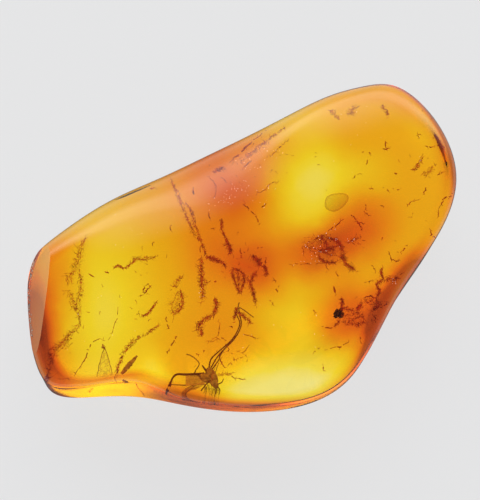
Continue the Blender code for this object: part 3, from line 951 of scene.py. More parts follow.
# Which way the leaf's width lies, how ragged it is, and how it arches and ripples
LEAF_ACROSS = (-0.8, 0.55)
LEAF_RAG = 0.7
LEAF_ARCH, LEAF_RIPPLE = 0.05, 0.03
LEAF_THICKNESS = 0.06
# The share of the spine that the torn flake still has
LEAF_KEPT = 0.84
CRUMB_START, CRUMB_END = (7.5, -6.15, 6.85), (8.25, -5.8, 7.05)
CRUMB_RADIUS = 0.33
# The lumps of the crumb: how wide, in millimetres, and how high beside its radius, and
# the share of that radius that it has without them
CRUMB_LUMPS = [(0.3, 1.0), (0.1, 0.4)]
CRUMB_CORE = 0.85
CRUMB_CREASE = math.radians(30)


class OBJECT_OT_amber_plants(bpy.types.Operator):
    """Build the sealed leaf flake, needle and crumb of bark"""
    bl_idname = "object.amber_plants"
    bl_label = "Bits of Plant"
    bl_options = {"REGISTER", "UNDO"}

    def execute(self, context):
        settings = context.scene.amber_plants
        rows = open_curve(LEAF_SPINE, 8)

        def leaf(u, v):
            x, y, z, half_width = rows[round(u * LEAF_KEPT * (len(rows) - 1))]
            side = (v - 0.5) * 2
            nibble = 1 - LEAF_RAG * noise.noise(Vector((u * 11, side * 2, 3)))
            lift = LEAF_ARCH * (1 - abs(side)) + LEAF_RIPPLE * math.sin(u * 15)
            reach = half_width * side * nibble
            return spot(x + LEAF_ACROSS[0] * reach, y + LEAF_ACROSS[1] * reach, z + lift)

        flake = named(shaped_grid(8, len(rows) - 1, leaf), "leaf")
        applied(flake, "SOLIDIFY", thickness=LEAF_THICKNESS * MM, offset=0)
        finish_piece(facing_out(flake), mottled_material(
            "dead_leaf", settings.leaf_dark, settings.leaf_light, 3200, bump=0.8, glow=0.5,
            Roughness=0.7))
        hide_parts("leaf_flake")

        line = [(spot(*place), radius * MM) for *place, radius in open_curve(NEEDLE_SPINE, 8)]
        needle = strands("needle", [line], sides=12)
        finish_piece(needle, mottled_material(
            "dead_needle", settings.bark_dark, settings.needle_colour, 2600, bump=0.6,
            Roughness=0.5))
        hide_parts("plant_needle")

        crumb = self.make_crumb(context)
        finish_piece(facing_out(crumb, CRUMB_CREASE), mottled_material(
            "bark", settings.bark_dark, settings.bark_light, 5200, bump=1.0, Roughness=0.6))
        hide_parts("bark_crumb")
        return {"FINISHED"}

    def make_crumb(self, context):
        """A ball whose surface is pushed in and out into a rough lump."""
        start, end = spot(*CRUMB_START), spot(*CRUMB_END)
        middle = (start + end) / 2
        start_clean()
        bpy.ops.mesh.primitive_ico_sphere_add(
            subdivisions=5, radius=1, location=middle,
            scale=((end - start).length / 2, CRUMB_RADIUS * MM, CRUMB_RADIUS * 0.9 * MM),
            rotation=(0, 0, math.atan2(end.y - start.y, end.x - start.x)))
        crumb = joined([context.object], "crumb")
        for vert in crumb.data.vertices:
            out = vert.co - middle
            lump = sum(noise.noise(out / (wide * MM)) * high for wide, high in CRUMB_LUMPS)
            vert.co = middle + out * (CRUMB_CORE + lump)
        return applied(crumb, "SMOOTH", factor=0.5, iterations=2)


# Fine cracks: width in pixels, depth in millimetres, and the pixels that they pass
FINE_CRACKS = [
    (1.0, 1.3, [(119, 307), (115, 322), (108, 340), (98, 339), (90, 347), (84, 360),
                (78, 370), (72, 377), (60, 379)]),
    (1.3, 1.2, [(89, 274), (94, 278)]),
    (2.0, 1.2, [(104, 272), (109, 272)]),
    (1.4, 1.0, [(148, 284), (150, 287), (146, 291), (142, 295), (140, 296)]),
    (1.4, 1.0, [(148, 284), (144, 289), (143, 293)]),
    (1.2, 1.2, [(137, 315), (139, 313)]),
    (1.4, 1.3, [(103.4, 345), (105, 349)]),
    (1.6, 1.2, [(170, 225), (171, 232)]),
    (1.2, 1.2, [(152, 247), (153, 241)]),
    (1.8, 1.2, [(150, 188.5), (154, 187)]),
    (1.0, 1.1, [(157.5, 300), (154, 305), (150, 310)]),
    (1.3, 1.2, [(200, 247), (201, 256), (202, 263)]),
    (1.2, 1.2, [(207.6, 176), (213, 181), (216, 187), (215, 197)]),
    (1.6, 1.0, [(208.6, 212), (209.5, 219)]),
    (1.6, 1.0, [(193, 188), (194, 196)]),
    (2.0, 1.2, [(230, 162.6), (236, 157), (244, 150), (254, 140), (266, 131)]),
    (1.2, 1.0, [(240.7, 171), (246, 165), (252, 160)]),
    (1.2, 1.0, [(222, 178), (226, 182)]),
    (1.7, 1.2, [(243, 200), (245, 206), (252, 212), (256, 217), (259, 224.5)]),
    (1.0, 1.0, [(256, 195.5), (265, 189), (272, 183), (278, 182)]),
    (1.8, 1.0, [(262, 207), (266, 205)]),
    (1.1, 1.0, [(256, 248.5), (262, 247)]),
    (1.6, 1.2, [(239.5, 248), (241, 254), (240.5, 259)]),
    (1.8, 1.0, [(265.5, 257), (266, 263)]),
    (1.4, 1.2, [(273.5, 278), (276, 282)]),
    (2.4, 1.0, [(276.5, 288.5), (277, 292)]),
    (1.2, 1.0, [(269.5, 300), (273, 305)]),
    (1.0, 1.0, [(289, 264.5), (300, 264), (312, 264), (325, 263)]),
    (2.2, 1.0, [(215, 281), (216, 283)]),
    (1.4, 1.0, [(206, 283), (210, 282)]),
    (1.3, 1.0, [(210, 229), (214, 229.5)]),
    (1.2, 1.0, [(165, 315), (167, 322), (168, 330)]),
    (1.5, 0.9, [(177, 336), (175, 340), (171, 345), (167, 354)]),
    (0.8, 1.2, [(218, 318), (219, 330), (217, 337), (209, 342)]),
    (1.0, 1.1, [(207, 343), (215, 340), (222, 338), (225, 340)]),
    (1.0, 1.1, [(243, 335), (252, 336.5), (257.5, 338.6)]),
    (0.9, 1.2, [(236.7, 351), (239, 352), (244, 352), (249, 345)]),
    (0.9, 1.2, [(228, 366), (233, 361), (240, 358), (246, 354.5)]),
    (1.0, 1.1, [(232, 377.6), (238, 378), (245, 379.7)]),
    (1.5, 1.2, [(220, 353), (220.8, 361), (224.6, 367.4)]),
    (1.0, 1.0, [(216, 363), (213.5, 371), (212, 376), (213, 381)]),
    (1.0, 1.1, [(228, 346), (229, 352)]),
    (1.3, 1.2, [(229.5, 326), (234, 327.5)]),
    (2.0, 1.0, [(197.3, 354), (198.3, 354.4)]),
    (2.0, 1.0, [(203.5, 350), (204.5, 351)]),
    (1.3, 1.0, [(417, 136), (419.5, 134)]),
    (1.6, 1.2, [(386, 141), (386, 148)]),
    (1.2, 1.2, [(382, 149.3), (390, 148.7)]),
    (1.4, 1.0, [(425, 146), (431, 147), (437, 146.3), (444, 147)]),
    (1.8, 1.0, [(361.8, 151.5), (362.8, 152.2)]),
    (1.5, 1.0, [(368.5, 152), (371, 155.5)]),
    (1.4, 1.0, [(369.5, 158), (366, 164)]),
    (2.0, 1.0, [(394, 173.3), (398, 173)]),
    (2.0, 1.0, [(437, 175), (442, 172)]),
    (0.9, 1.0, [(352, 179), (360, 174)]),
    (1.8, 1.0, [(382.5, 187), (388, 191)]),
    (1.8, 1.0, [(397.5, 190), (401, 188)]),
    (1.5, 1.0, [(426, 188), (424, 194)]),
    (1.3, 1.0, [(381, 205), (385, 206.5)]),
    (1.0, 1.2, [(368, 189), (375, 188.5)]),
    (1.2, 0.5, [(452, 193), (450, 197), (445, 197), (442, 203), (439, 209), (439, 216)]),
    (0.9, 1.0, [(407, 207), (411, 202), (418, 200.5)]),
    (1.2, 1.2, [(366, 204), (365, 211), (369, 216)]),
    (2.0, 0.9, [(351, 214), (356, 220), (360, 226), (361, 231)]),
    (1.5, 0.9, [(357, 222), (363, 224)]),
    (1.5, 0.9, [(328, 231), (335, 226), (343, 220)]),
    (1.8, 1.0, [(381.8, 237), (382.6, 238)]),
    (1.4, 1.0, [(408, 244), (404, 249), (400, 253)]),
    (1.5, 1.0, [(389, 252), (391, 259), (396, 261), (400, 260.5)]),
    (1.3, 1.0, [(372, 265), (376, 271.5)]),
    (2.0, 1.0, [(334, 286), (335.5, 295)]),
    (1.2, 1.2, [(336, 271), (338, 278)]),
    (1.1, 1.2, [(364, 282), (373, 281)]),
    (1.2, 1.0, [(429, 228.4), (433.6, 236.8)]),
    (1.3, 1.0, [(355.5, 308.5), (362.5, 303.4)]),
    (2.0, 1.0, [(362.5, 299), (370.8, 296.4), (379, 301.5)]),
    (1.2, 1.0, [(268, 158), (275, 152), (281, 146), (287, 141)]),
    (1.8, 1.0, [(359, 323), (357, 328)]),
    (1.4, 1.0, [(372, 314), (375.6, 319.3)]),
    (1.2, 1.0, [(357.4, 323.8), (364.4, 323)]),
    (1.4, 1.0, [(360, 336.6), (360.6, 343)]),
    (1.2, 1.0, [(312.6, 309), (315, 316)]),
    (1.3, 1.0, [(321, 326.7), (329.5, 328.3), (337, 325)]),
    (1.3, 1.0, [(325, 351), (335.6, 346.6), (341.7, 346.6), (350, 340)]),
    (1.2, 1.0, [(312.6, 354.3), (318.8, 347.4)]),
    (1.4, 1.0, [(322.6, 364), (323.3, 370)]),
    (1.2, 1.0, [(326, 264), (327, 271)]),
]

# Lacy veils: width in pixels, depth in millimetres, how closed the lace is, and the pixels
# along the middle
VEILS = [
    (8.0, 1.2, 0.5, [(87, 234), (81, 250), (77, 263), (72, 274), (69, 281)]),
    (5.5, 1.3, 0.46, [(80, 269), (80.5, 287), (78, 305), (80, 323)]),
    (6.0, 1.1, 0.5, [(70, 291), (72, 299), (75, 306), (74, 311)]),
    (5.0, 1.2, 0.52, [(81, 324), (70, 334), (59, 344), (49, 352)]),
    (7.0, 1.3, 0.48, [(71, 338), (60, 348), (50, 358)]),
    (5.0, 1.4, 0.5, [(47, 352), (52, 358), (49, 368), (48, 378)]),
    (2.6, 1.2, 0.6, [(113, 269), (118, 266), (124, 268), (132, 263), (137, 258)]),
    (4.0, 1.2, 0.52, [(131, 259), (138, 259), (147, 258), (158, 257)]),
    (2.4, 1.2, 0.62, [(157, 301), (152, 309), (147, 314), (141, 317)]),
    (3.6, 1.2, 0.56, [(160, 324), (152, 330), (146, 335)]),
    (5.0, 1.2, 0.54, [(144, 334), (135, 340), (129, 346), (124, 354)]),
    (3.0, 1.2, 0.58, [(124, 354), (121, 360), (118, 368), (115.5, 378)]),
    (3.5, 1.0, 0.54, [(170, 177), (174, 186), (179, 197), (185, 214), (192, 229), (199, 240)]),
    (3.0, 1.0, 0.58, [(185, 201), (191, 211), (195, 225), (200, 238), (204, 249), (207, 258)]),
    (6.0, 1.2, 0.6, [(202, 256), (201, 268), (202, 281), (203, 291), (202, 301)]),
    (4.5, 1.0, 0.68, [(205, 257), (211, 258), (218, 261), (224, 263)]),
    (2.5, 1.0, 0.6, [(223, 261), (225, 267)]),
    (2.6, 1.0, 0.62, [(222, 218), (222, 229), (226, 238)]),
    (5.5, 1.0, 0.7, [(225, 237), (229, 246), (231, 254)]),
    (4.0, 0.9, 0.68, [(213, 173), (218, 170), (224, 167)]),
    (3.0, 1.0, 0.54, [(240, 162), (253, 152), (268, 140), (284, 128)]),
    (6.5, 1.0, 0.7, [(251, 255), (257, 260), (262, 267)]),
    (4.5, 1.0, 0.66, [(262, 266), (266, 269), (267, 277)]),
    (11.0, 1.1, 0.5, [(231, 268), (237, 274), (240, 282), (240, 292)]),
    (3.0, 1.0, 0.64, [(231.5, 269), (234, 279), (238, 289), (241, 292)]),
    (3.0, 1.0, 0.62, [(232, 268), (240, 271), (244, 276), (243, 286), (240, 292)]),
    (5.0, 1.0, 0.62, [(257, 271), (253, 277), (250, 284)]),
    (3.5, 1.0, 0.66, [(247, 277), (251, 286), (254, 295), (255.5, 305)]),
    (5.0, 1.0, 0.66, [(215, 297), (216, 305), (214, 316)]),
    (6.0, 1.1, 0.6, [(214, 314), (206, 319), (200, 325), (198, 330)]),
    (4.5, 1.1, 0.6, [(199, 325), (201, 331), (202, 337)]),
    (3.5, 1.0, 0.66, [(235.5, 307), (236, 312), (233.5, 320)]),
    (3.5, 1.0, 0.62, [(236, 311), (242, 315), (249, 320), (250, 324)]),
    (4.5, 1.2, 0.52, [(184, 276), (179, 279), (175, 285), (173, 287)]),
    (11.0, 1.2, 0.48, [(180, 290), (179, 300), (175, 308), (171, 315)]),
    (2.5, 1.1, 0.6, [(180, 289), (183, 300), (181, 309), (174, 314)]),
    (4.5, 1.0, 0.55, [(331, 109), (334, 114), (340, 120)]),
    (6.5, 1.0, 0.5, [(346, 114), (352, 111), (356, 105)]),
    (4.5, 1.0, 0.52, [(381, 105), (385, 110), (389, 116)]),
    (3.5, 1.0, 0.56, [(410, 170), (416, 168), (420, 162), (423, 156)]),
    (4.5, 1.0, 0.5, [(423, 175), (430, 171), (434, 165)]),
    (3.0, 1.0, 0.54, [(313, 240), (320, 236), (328, 234)]),
    (4.5, 1.0, 0.66, [(326, 237), (335, 240), (341, 246), (343, 253)]),
    (5.5, 1.0, 0.72, [(340, 252), (345, 262), (356, 271)]),
    (3.0, 1.0, 0.64, [(317, 251), (328, 249), (340, 245)]),
    (4.0, 1.0, 0.64, [(318, 254), (324, 262), (338, 262)]),
    (14.0, 1.2, 0.46, [(300, 244), (318, 248), (336, 254)]),
    (5.0, 1.1, 0.52, [(346, 243), (353, 240), (360, 236)]),
    (3.2, 1.0, 0.68, [(383, 267), (381, 273), (384, 280)]),
    (3.4, 1.0, 0.68, [(384, 279), (377, 284), (379, 291), (376, 299)]),
    (5.0, 1.0, 0.58, [(384, 279), (391, 279), (399, 277)]),
    (10.0, 1.3, 0.48, [(340, 318), (352, 315), (366, 316)]),
    (8.0, 1.3, 0.46, [(362, 300), (372, 302), (383, 306)]),
    (4.0, 1.0, 0.7, [(362, 304), (359, 307), (357, 311)]),
    (4.0, 1.0, 0.62, [(381, 303), (377, 307), (373, 310)]),
    (3.5, 1.0, 0.66, [(342, 297), (342, 303), (341, 309)]),
    (3.0, 1.0, 0.6, [(341, 308), (347, 309), (354, 311)]),
    (5.0, 1.0, 0.56, [(341, 321), (350, 323), (358, 324), (365, 322)]),
    (3.0, 1.0, 0.58, [(340, 318), (338, 323), (335, 326)]),
    (5.0, 1.0, 0.6, [(318, 239), (323, 238), (326, 244), (327, 251)]),
    (3.0, 1.0, 0.5, [(216, 375), (224, 374), (233, 374)]),
]

# How far a crack strays from its pixels, and its painted glow, which stands in for the pale
# floor's light that shines through it
CRACK_JITTER = 0.5
CRACK_GLOW = 0.45
# How a crack's radius wavers, and the share of it that is left at its ends
CRACK_WAVER = (0.4, 1.3)
CRACK_END = 0.45
# How often a crack breaks off or sends out a barb, at each step of its way
BREAK_SHARE = 0.18
BARB_SHARE = 0.5
# A veil's ribbon: points across it, how ragged and how much wider than its row says it is,
# and how wide its ends are
VEIL_ROWS = 6
VEIL_ROUGHNESS = 0.9
VEIL_SPREAD = 1.3
VEIL_END = 0.3
# How far a veil's side lies deeper for each pixel of its width, and its rags, in millimetres
VEIL_TILT = 0.03
VEIL_RAG = 0.08
# How far in from a veil's ends, X, and its sides, Y, its lace fades, as shares of its half
VEIL_FADES = {"X": 0.3, "Y": 0.7}
# Veils with more lace than this have two spines of thin cracks
DENSE_COVER = 0.59
# How wide a veil's spines and all barbs are, in pixels, and how many barbs a closed veil
# has to each pixel of its length
SPINE_WIDTH = 0.65
BARB_WIDTH = 0.65
BARBS_PER_PIXEL = 1.0
# A barb's points, how its radius wavers and thins out, and how it kinks, in radians
BARB_STEPS = 4
BARB_WAVER = (0.5, 1.4)
BARB_THINNING = 0.8
BARB_KINK = 0.6
# How a barb turns off its crack, in radians, and its length in pixels, on a crack alone
BARB_TURN = (0.5, 1.3)
BARB_REACH = (1.2, 3.6)
# The same in a veil, where a share of the veil's half width is added to the length, and
# how far the depth varies, in millimetres
TWIG_TURN = (0.1, 0.9)
TWIG_REACH = 1.5
TWIG_SHARE = (0.4, 1.7)
TWIG_DEPTH = 0.15

# Tiny stray cracks: middle, half width and half height in pixels, and how many
STRAY_CRACKS = [
    (245, 165, 35, 25, 26), (330, 248, 30, 20, 22), (362, 308, 24, 14, 22),
    (235, 270, 32, 28, 20), (135, 290, 30, 45, 16), (225, 355, 25, 22, 12),
    (410, 165, 35, 60, 18), (75, 300, 14, 60, 10), (60, 360, 14, 16, 8),
    (290, 150, 90, 40, 10),
]
# Their length in pixels and their depth in millimetres
STRAY_REACH = (1.5, 5.0)
STRAY_DEPTH = (0.7, 1.4)

# Bright flecks, tiny splinters whose glints are painted as a glow: middle, half width and
# half height in pixels, and how many
SPARKLES = [
    (222, 200, 13, 9, 20), (236, 190, 12, 10, 14), (247, 186, 7, 8, 6),
    (250, 166, 12, 9, 11), (270, 153, 14, 10, 10), (266, 189, 11, 6, 8),
    (259, 205, 8, 5, 5), (208, 206, 6, 3, 4), (317, 249, 16, 12, 23), (329, 236, 9, 9, 8),
    (352, 240, 6, 4, 6), (394, 280, 5, 5, 7), (345, 112, 14, 6, 6), (335, 228, 5, 4, 4),
    (305, 262, 14, 2, 5), (421, 160, 3, 5, 3), (200, 292, 3, 8, 5), (157, 232, 1, 1, 1),
    (334, 318, 3, 3, 2), (246, 336, 6, 12, 3), (362, 98, 1, 1, 1), (130, 232, 30, 25, 7),
    (380, 130, 45, 30, 8), (300, 330, 60, 40, 11), (100, 310, 40, 50, 8),
]
# A fleck's half length in millimetres, then as shares of that its least width, its
# thickness, and how far its middle is sunk
SPARKLE_SIZE = (0.015, 0.035)
SPARKLE_SHAPE = (0.4, 0.3)
SPARKLE_SUNK = 0.2

# The speckled crust along the left end: the pixels down its outer edge, how many specks it
# has, and their size and shape as for the flecks
CRUST_LINE = [(33, 262), (29.5, 278), (28, 300), (29, 318), (32, 336)]
CRUST_SPECKS = 150
CRUST_SIZE = (0.04, 0.13)
CRUST_SHAPE = (0.5, 0.4)
CRUST_SUNK = 0.25


def half_pixels(width):
    """Half of a width in pixels, in metres."""
    return width / 2 / PIXELS_PER_MM * MM


def course_of(step):
    """The direction of a step over the photograph, in radians."""
    return math.atan2(step[1], step[0])


def veil(beneath, rng, width, depth, path):
    """One ragged ribbon that lies level with the crown."""
    rows = open_curve(path, 5)
    last = len(rows) - 1
    rag = [[rng.uniform(-1, 1) for _ in range(VEIL_ROWS + 1)] for _ in rows]

    def place(u, v):
        i = round(u * last)
        along = rows[min(i + 1, last)] - rows[max(i - 1, 0)]
        length = math.hypot(*along)
        side = (v - 0.5) * 2
        taper = VEIL_END + (1 - VEIL_END) * math.sin(math.pi * (0.08 + 0.84 * u))
        reach = side * width * VEIL_SPREAD / 2 * taper
        reach *= 1 + VEIL_ROUGHNESS * rag[i][round(v * VEIL_ROWS)]
        px = rows[i][0] - along[1] / length * reach
        py = rows[i][1] + along[0] / length * reach
        sunk = depth + VEIL_TILT * width * side + VEIL_RAG * rag[i][VEIL_ROWS // 2]
        return beneath(px, py, sunk)

    return shaped_grid(VEIL_ROWS, last, place)


def barb(beneath, rng, start, course, reach, depth):
    """A short side crack from a pixel, which kinks and thins out to its tip."""
    line = []
    for step in range(BARB_STEPS + 1):
        thin = (1 - BARB_THINNING * step / BARB_STEPS) * rng.uniform(*BARB_WAVER)
        line.append((beneath(*start, depth), half_pixels(BARB_WIDTH) * thin))
        course += rng.uniform(-BARB_KINK, BARB_KINK)
        start = start + np.array((math.cos(course), math.sin(course))) * reach / BARB_STEPS
    return line


def crack_line(beneath, rng, width, depth, path):
    """One fine crack: broken threads whose thickness and course waver, and their barbs."""
    rows = open_curve(path, 4)
    steps = len(rows) - 1
    lines, barbs = [[]], []
    for i, row in enumerate(rows):
        middle = min(0.5, min(i, steps - i) / steps)
        radius = half_pixels(width) * (CRACK_END + middle) * rng.uniform(*CRACK_WAVER)
        bent = beside(rng, *row, CRACK_JITTER, CRACK_JITTER)
        lines[-1].append((beneath(*bent, depth), radius))
        if rng.random() < BREAK_SHARE:
            lines.append([])
        if i and rng.random() < BARB_SHARE:
            course = course_of(row - rows[i - 1])
            course += rng.choice((-1, 1)) * rng.uniform(*BARB_TURN)
            barbs.append(barb(beneath, rng, bent, course, rng.uniform(*BARB_REACH), depth))
    return [line for line in lines if len(line) > 1] + barbs


def twigs(beneath, rng, width, depth, cover, path):
    """The fine branching cracks of a veil: broken spines, and barbs on both sides of them."""
    rows = open_curve(path, 5)
    lines = []
    for _ in range(1 + (cover > DENSE_COVER)):
        spine = [np.array(point) + rng.gauss(0, width / 6) for point in path]
        lines += crack_line(beneath, rng, SPINE_WIDTH, depth, spine)
    length = sum(math.hypot(*(b - a)) for a, b in zip(rows, rows[1:]))
    for _ in range(round(length * BARBS_PER_PIXEL * cover)):
        i = rng.randrange(1, len(rows))
        course = course_of(rows[i] - rows[i - 1])
        course += rng.choice((-1, 1, math.pi)) * rng.uniform(*TWIG_TURN)
        start = beside(rng, *rows[i], width / 4, width / 4)
        reach = TWIG_REACH + width / 2 * rng.uniform(*TWIG_SHARE)
        sunk = depth + rng.uniform(-TWIG_DEPTH, TWIG_DEPTH)
        lines.append(barb(beneath, rng, start, course, reach, sunk))
    return lines


def specks(name, places):
    """Small flat splinters as one mesh: each a place, a size and a turn."""
    start_clean()
    bpy.ops.mesh.primitive_ico_sphere_add(subdivisions=1, radius=1, location=(0, 0, 0))
    model = bpy.context.object
    corners = [vert.co.copy() for vert in model.data.vertices]
    faces = [tuple(face.vertices) for face in model.data.polygons]
    verts, polygons = [], []
    for place, size, turn in places:
        base = len(verts)
        verts += [place + turn @ Vector((c.x * size.x, c.y * size.y, c.z * size.z))
                  for c in corners]
        polygons += [tuple(base + i for i in face) for face in faces]
    model.data.clear_geometry()
    model.data.from_pydata(verts, [], polygons)
    return named(model, name)


def splinter(rng, size, least, thick):
    """The half sizes of one flat splinter."""
    return Vector((size, size * rng.uniform(least, 1), size * thick)) * MM


def random_turn(rng):
    turn = Matrix.Rotation(rng.uniform(0, math.tau), 3, "Z")
    return turn @ Matrix.Rotation(rng.uniform(-0.9, 0.9), 3, "X")


def veil_fade(cover):
    """Lays out a veil's lace, which thins out towards the ribbon's sides and ends."""
    def alpha(nodes):
        lace = place_group(nodes, lace_group(), Scale=6500.0, Cover=cover)
        axes = nodes.axes("UV")
        fades = []
        for axis, reach in VEIL_FADES.items():
            out = nodes.maths("ABSOLUTE", nodes.maths("SUBTRACT", axes[axis], 0.5))
            fades.append(nodes.remap(out, 0.5, 0.5 - reach / 2))
        return nodes.maths("MULTIPLY", lace["Alpha"], nodes.maths("MULTIPLY", *fades))
    return alpha


class OBJECT_OT_amber_cracks(bpy.types.Operator):
    """Build the fine cracks and the rust-coloured lacy veils in the amber"""
    bl_idname = "object.amber_cracks"
    bl_label = "Cracks and Veils"
    bl_options = {"REGISTER", "UNDO"}

    def execute(self, context):
        settings = context.scene.amber_cracks
        beneath = Beneath(context)
        rng = random.Random(11)
        lines = []
        for row in FINE_CRACKS:
            lines += crack_line(beneath, rng, *row)
        for row in VEILS:
            lines += twigs(beneath, rng, *row)
        for px, py, half_width, half_height, count in STRAY_CRACKS:
            for _ in range(count):
                start = beside(rng, px, py, half_width / 2, half_height / 2)
                lines.append(barb(
                    beneath, rng, start, rng.uniform(0, math.tau),
                    rng.uniform(*STRAY_REACH), rng.uniform(*STRAY_DEPTH)))
        finish_piece(strands("fine_cracks", lines), mottled_material(
            "rust_crack", settings.dark, settings.light, 2600, bump=0.5, glow=CRACK_GLOW,
            alpha=laced(5200.0, cover=0.62, least=0.35, most=1.0), Roughness=0.6))

        for cover in sorted({row[2] for row in VEILS}):
            ribbons = [
                veil(beneath, rng, width, depth, path)
                for width, depth, own_cover, path in VEILS if own_cover == cover
            ]
            number = round(cover * 100)
            veils = joined(ribbons, f"lacy_veil_{number}")
            finish_piece(veils, mottled_material(
                f"rust_veil_{number}", settings.dark, settings.light, 2200, bump=0.6,
                glow=CRACK_GLOW, alpha=veil_fade(cover), Roughness=0.6))
        return {"FINISHED"}


class OBJECT_OT_amber_flecks(bpy.types.Operator):
    """Scatter the bright flecks with their painted glints and lay the speckled crust on the
    left end
    """
    bl_idname = "object.amber_flecks"
    bl_label = "Flecks and Crust"
    bl_options = {"REGISTER", "UNDO"}

    def execute(self, context):
        settings = context.scene.amber_cracks
        beneath = Beneath(context)
        rng = random.Random(23)
        places = []
        for px, py, half_width, half_height, count in SPARKLES:
            for _ in range(count):
                size = rng.uniform(*SPARKLE_SIZE)
                place, normal, _ = beneath.on_surface(
                    *beside(rng, px, py, half_width / 2, half_height / 2))
                place = place - normal * size * SPARKLE_SUNK * MM
                places.append((place, splinter(rng, size, *SPARKLE_SHAPE), random_turn(rng)))
        # The flecks glow white: painted glints
        flecks = facing_out(specks("sparkles", places), 0)
        finish_piece(flecks, mottled_material(
            "painted_glint_fleck", settings.sparkle, (1, 0.93, 0.85, 1), 5000, glow=1.0,
            Roughness=0.3))

        line = open_curve(CRUST_LINE, 12)
        places = []
        for _ in range(CRUST_SPECKS):
            px, py = rng.choice(line)
            place, normal, _ = beneath.on_surface(
                px + rng.gauss(0.4, 0.8), py + rng.uniform(-1.5, 1.5))
            size = rng.uniform(*CRUST_SIZE)
            shape = splinter(rng, size, *CRUST_SHAPE)
            turn = Vector((0, 0, 1)).rotation_difference(normal).to_matrix()
            turn = turn @ Matrix.Rotation(rng.uniform(0, math.tau), 3, "Z")
            places.append((place - normal * size * CRUST_SUNK * MM, shape, turn))
        crust = facing_out(specks("end_crust", places), 0)
        finish_piece(crust, mottled_material(
            "end_crust", settings.crust_dark, settings.crust_light, 3800, bump=1.0,
            glow=0.25, Roughness=0.8))
        return {"FINISHED"}


BUBBLE_OUTLINE = [(325, 207), (325.5, 199), (332, 194), (345, 193.5), (348.5, 199),
                  (344, 206), (337, 211), (330, 211)]
BUBBLE_STEPS = 48
BUBBLE_DEPTH = 0.9
BUBBLE_DOME = 0.18
# From where to where its rim turns denser, how see-through its middle and rim are, and the
# brown of its skin
BUBBLE_RIM = (0.75, 1.0)
BUBBLE_ALPHA = (0.3, 0.55)
BUBBLE_COLOURS = (0.5, 0.16, 0.02, 1), (0.65, 0.25, 0.04, 1)
# A torn bit of another insect: the pixels of its tip and of the feet of its two ribs
SCALE_TIP, SCALE_FEET = (104.5, 347), ((96.5, 376), (112.5, 375))
SCALE_DEPTH = 1.4
# How far its foot is higher, in millimetres, and sags between its ribs, in pixels
SCALE_RISE, SCALE_SAG = 0.3, 1.5
# Where along a rib it bends and how far, in pixels, and a rib's radius
RIB_BEND, RIB_BOW = 0.6, (0, -2)
RIB_RADIUS = 0.03
# The swollen tip, where the ribs meet: its first pixel, points, and first and added radius
KNOB_START, KNOB_STEPS = (102.8, 344), 5
KNOB_RADIUS, KNOB_GROWTH = 0.04, 0.02


class OBJECT_OT_amber_traces(bpy.types.Operator):
    """Build the flat bubble and the tent-shaped scale of another insect"""
    bl_idname = "object.amber_traces"
    bl_label = "Bubble and Scale"
    bl_options = {"REGISTER", "UNDO"}

    def execute(self, context):
        beneath = Beneath(context)
        self.make_bubble(beneath)
        self.make_scale(beneath, context.scene.amber_gnat)
        return {"FINISHED"}

    def make_bubble(self, beneath):
        outline = closed_curve(BUBBLE_OUTLINE, BUBBLE_STEPS)
        middle = np.mean(outline, axis=0)

        def dome(u, v):
            ring = outline[round(u * BUBBLE_STEPS) % BUBBLE_STEPS]
            px, py = middle + (ring - middle) * v
            return beneath(px, py, BUBBLE_DEPTH - BUBBLE_DOME * (1 - v**2))

        bubble = facing_out(named(shaped_grid(8, BUBBLE_STEPS, dome), "flat_bubble"))
        finish_piece(bubble, mottled_material(
            "bubble_skin", *BUBBLE_COLOURS, 1500, bump=0.3, glow=0.3,
            alpha=lambda nodes: nodes.remap(nodes.axes("UV")["Y"], *BUBBLE_RIM, *BUBBLE_ALPHA),
            Roughness=0.25))

    def make_scale(self, beneath, gnat):
        tip, *feet = (np.array(pixel) for pixel in (SCALE_TIP, *SCALE_FEET))

        def tent(u, v):
            px, py = tip * (1 - u) + (feet[0] * (1 - v) + feet[1] * v) * u
            sag = SCALE_SAG * u * math.sin(v * math.pi)
            return beneath(px, py + sag, SCALE_DEPTH - SCALE_RISE * u)

        scale = facing_out(named(shaped_grid(8, 14, tent), "insect_scale"))
        finish_piece(scale, mottled_material(
            "thin_scale", gnat.trunk_light, gnat.wing_colour, 3000, bump=0.4, glow=0.4,
            alpha=laced(2500.0, cover=0.46, least=0.1, most=0.7), Roughness=0.4))
        lines = []
        for foot in feet:
            bend = tip * (1 - RIB_BEND) + foot * RIB_BEND + RIB_BOW
            rows = open_curve([tip, bend, foot], 5)
            lines.append([(beneath(*row, SCALE_DEPTH), RIB_RADIUS * MM) for row in rows])
        px, py = KNOB_START
        lines.append([(beneath(px, py + i, SCALE_DEPTH), (KNOB_RADIUS + KNOB_GROWTH * i) * MM)
                      for i in range(KNOB_STEPS)])
        finish_piece(strands("scale_ribs", lines), mottled_material(
            "scale_ribs", gnat.limb_colour, gnat.trunk_light, 2500, glow=0.4, Roughness=0.5))


# The floor's own colour and the colour of its glow, and how far under the pebble it lies
FLOOR_COLOUR = (0.12, 0.12, 0.12, 1)
GLOW_COLOUR = (0.985, 0.99, 1.0, 1)
FLOOR_GAP = 0.02
# The clear amber gathers light on the floor below it, which is how much brighter the floor
# looks through it. Its polish mirrors the shade close round its foot: how bright the floor
# is there, and from where to where it lightens, in half widths from the middle.
THROUGH_GAIN = 1.24
SHADE_GAIN = 0.1
SHADE_START, SHADE_END = 1.15, 1.7
# How far back a direction points where the wall behind starts and where it is full
WALL_EDGES = (0.40, 0.72)
# How far up a direction points where the wall has all its light, and where the light that
# comes from low all round has faded out
WALL_TOP = 0.5
LOW_LIGHT_TOP = 0.8
# How much of the wall's light behind is left at the horizon, where the floor meets it
HORIZON_SHARE = 0.25
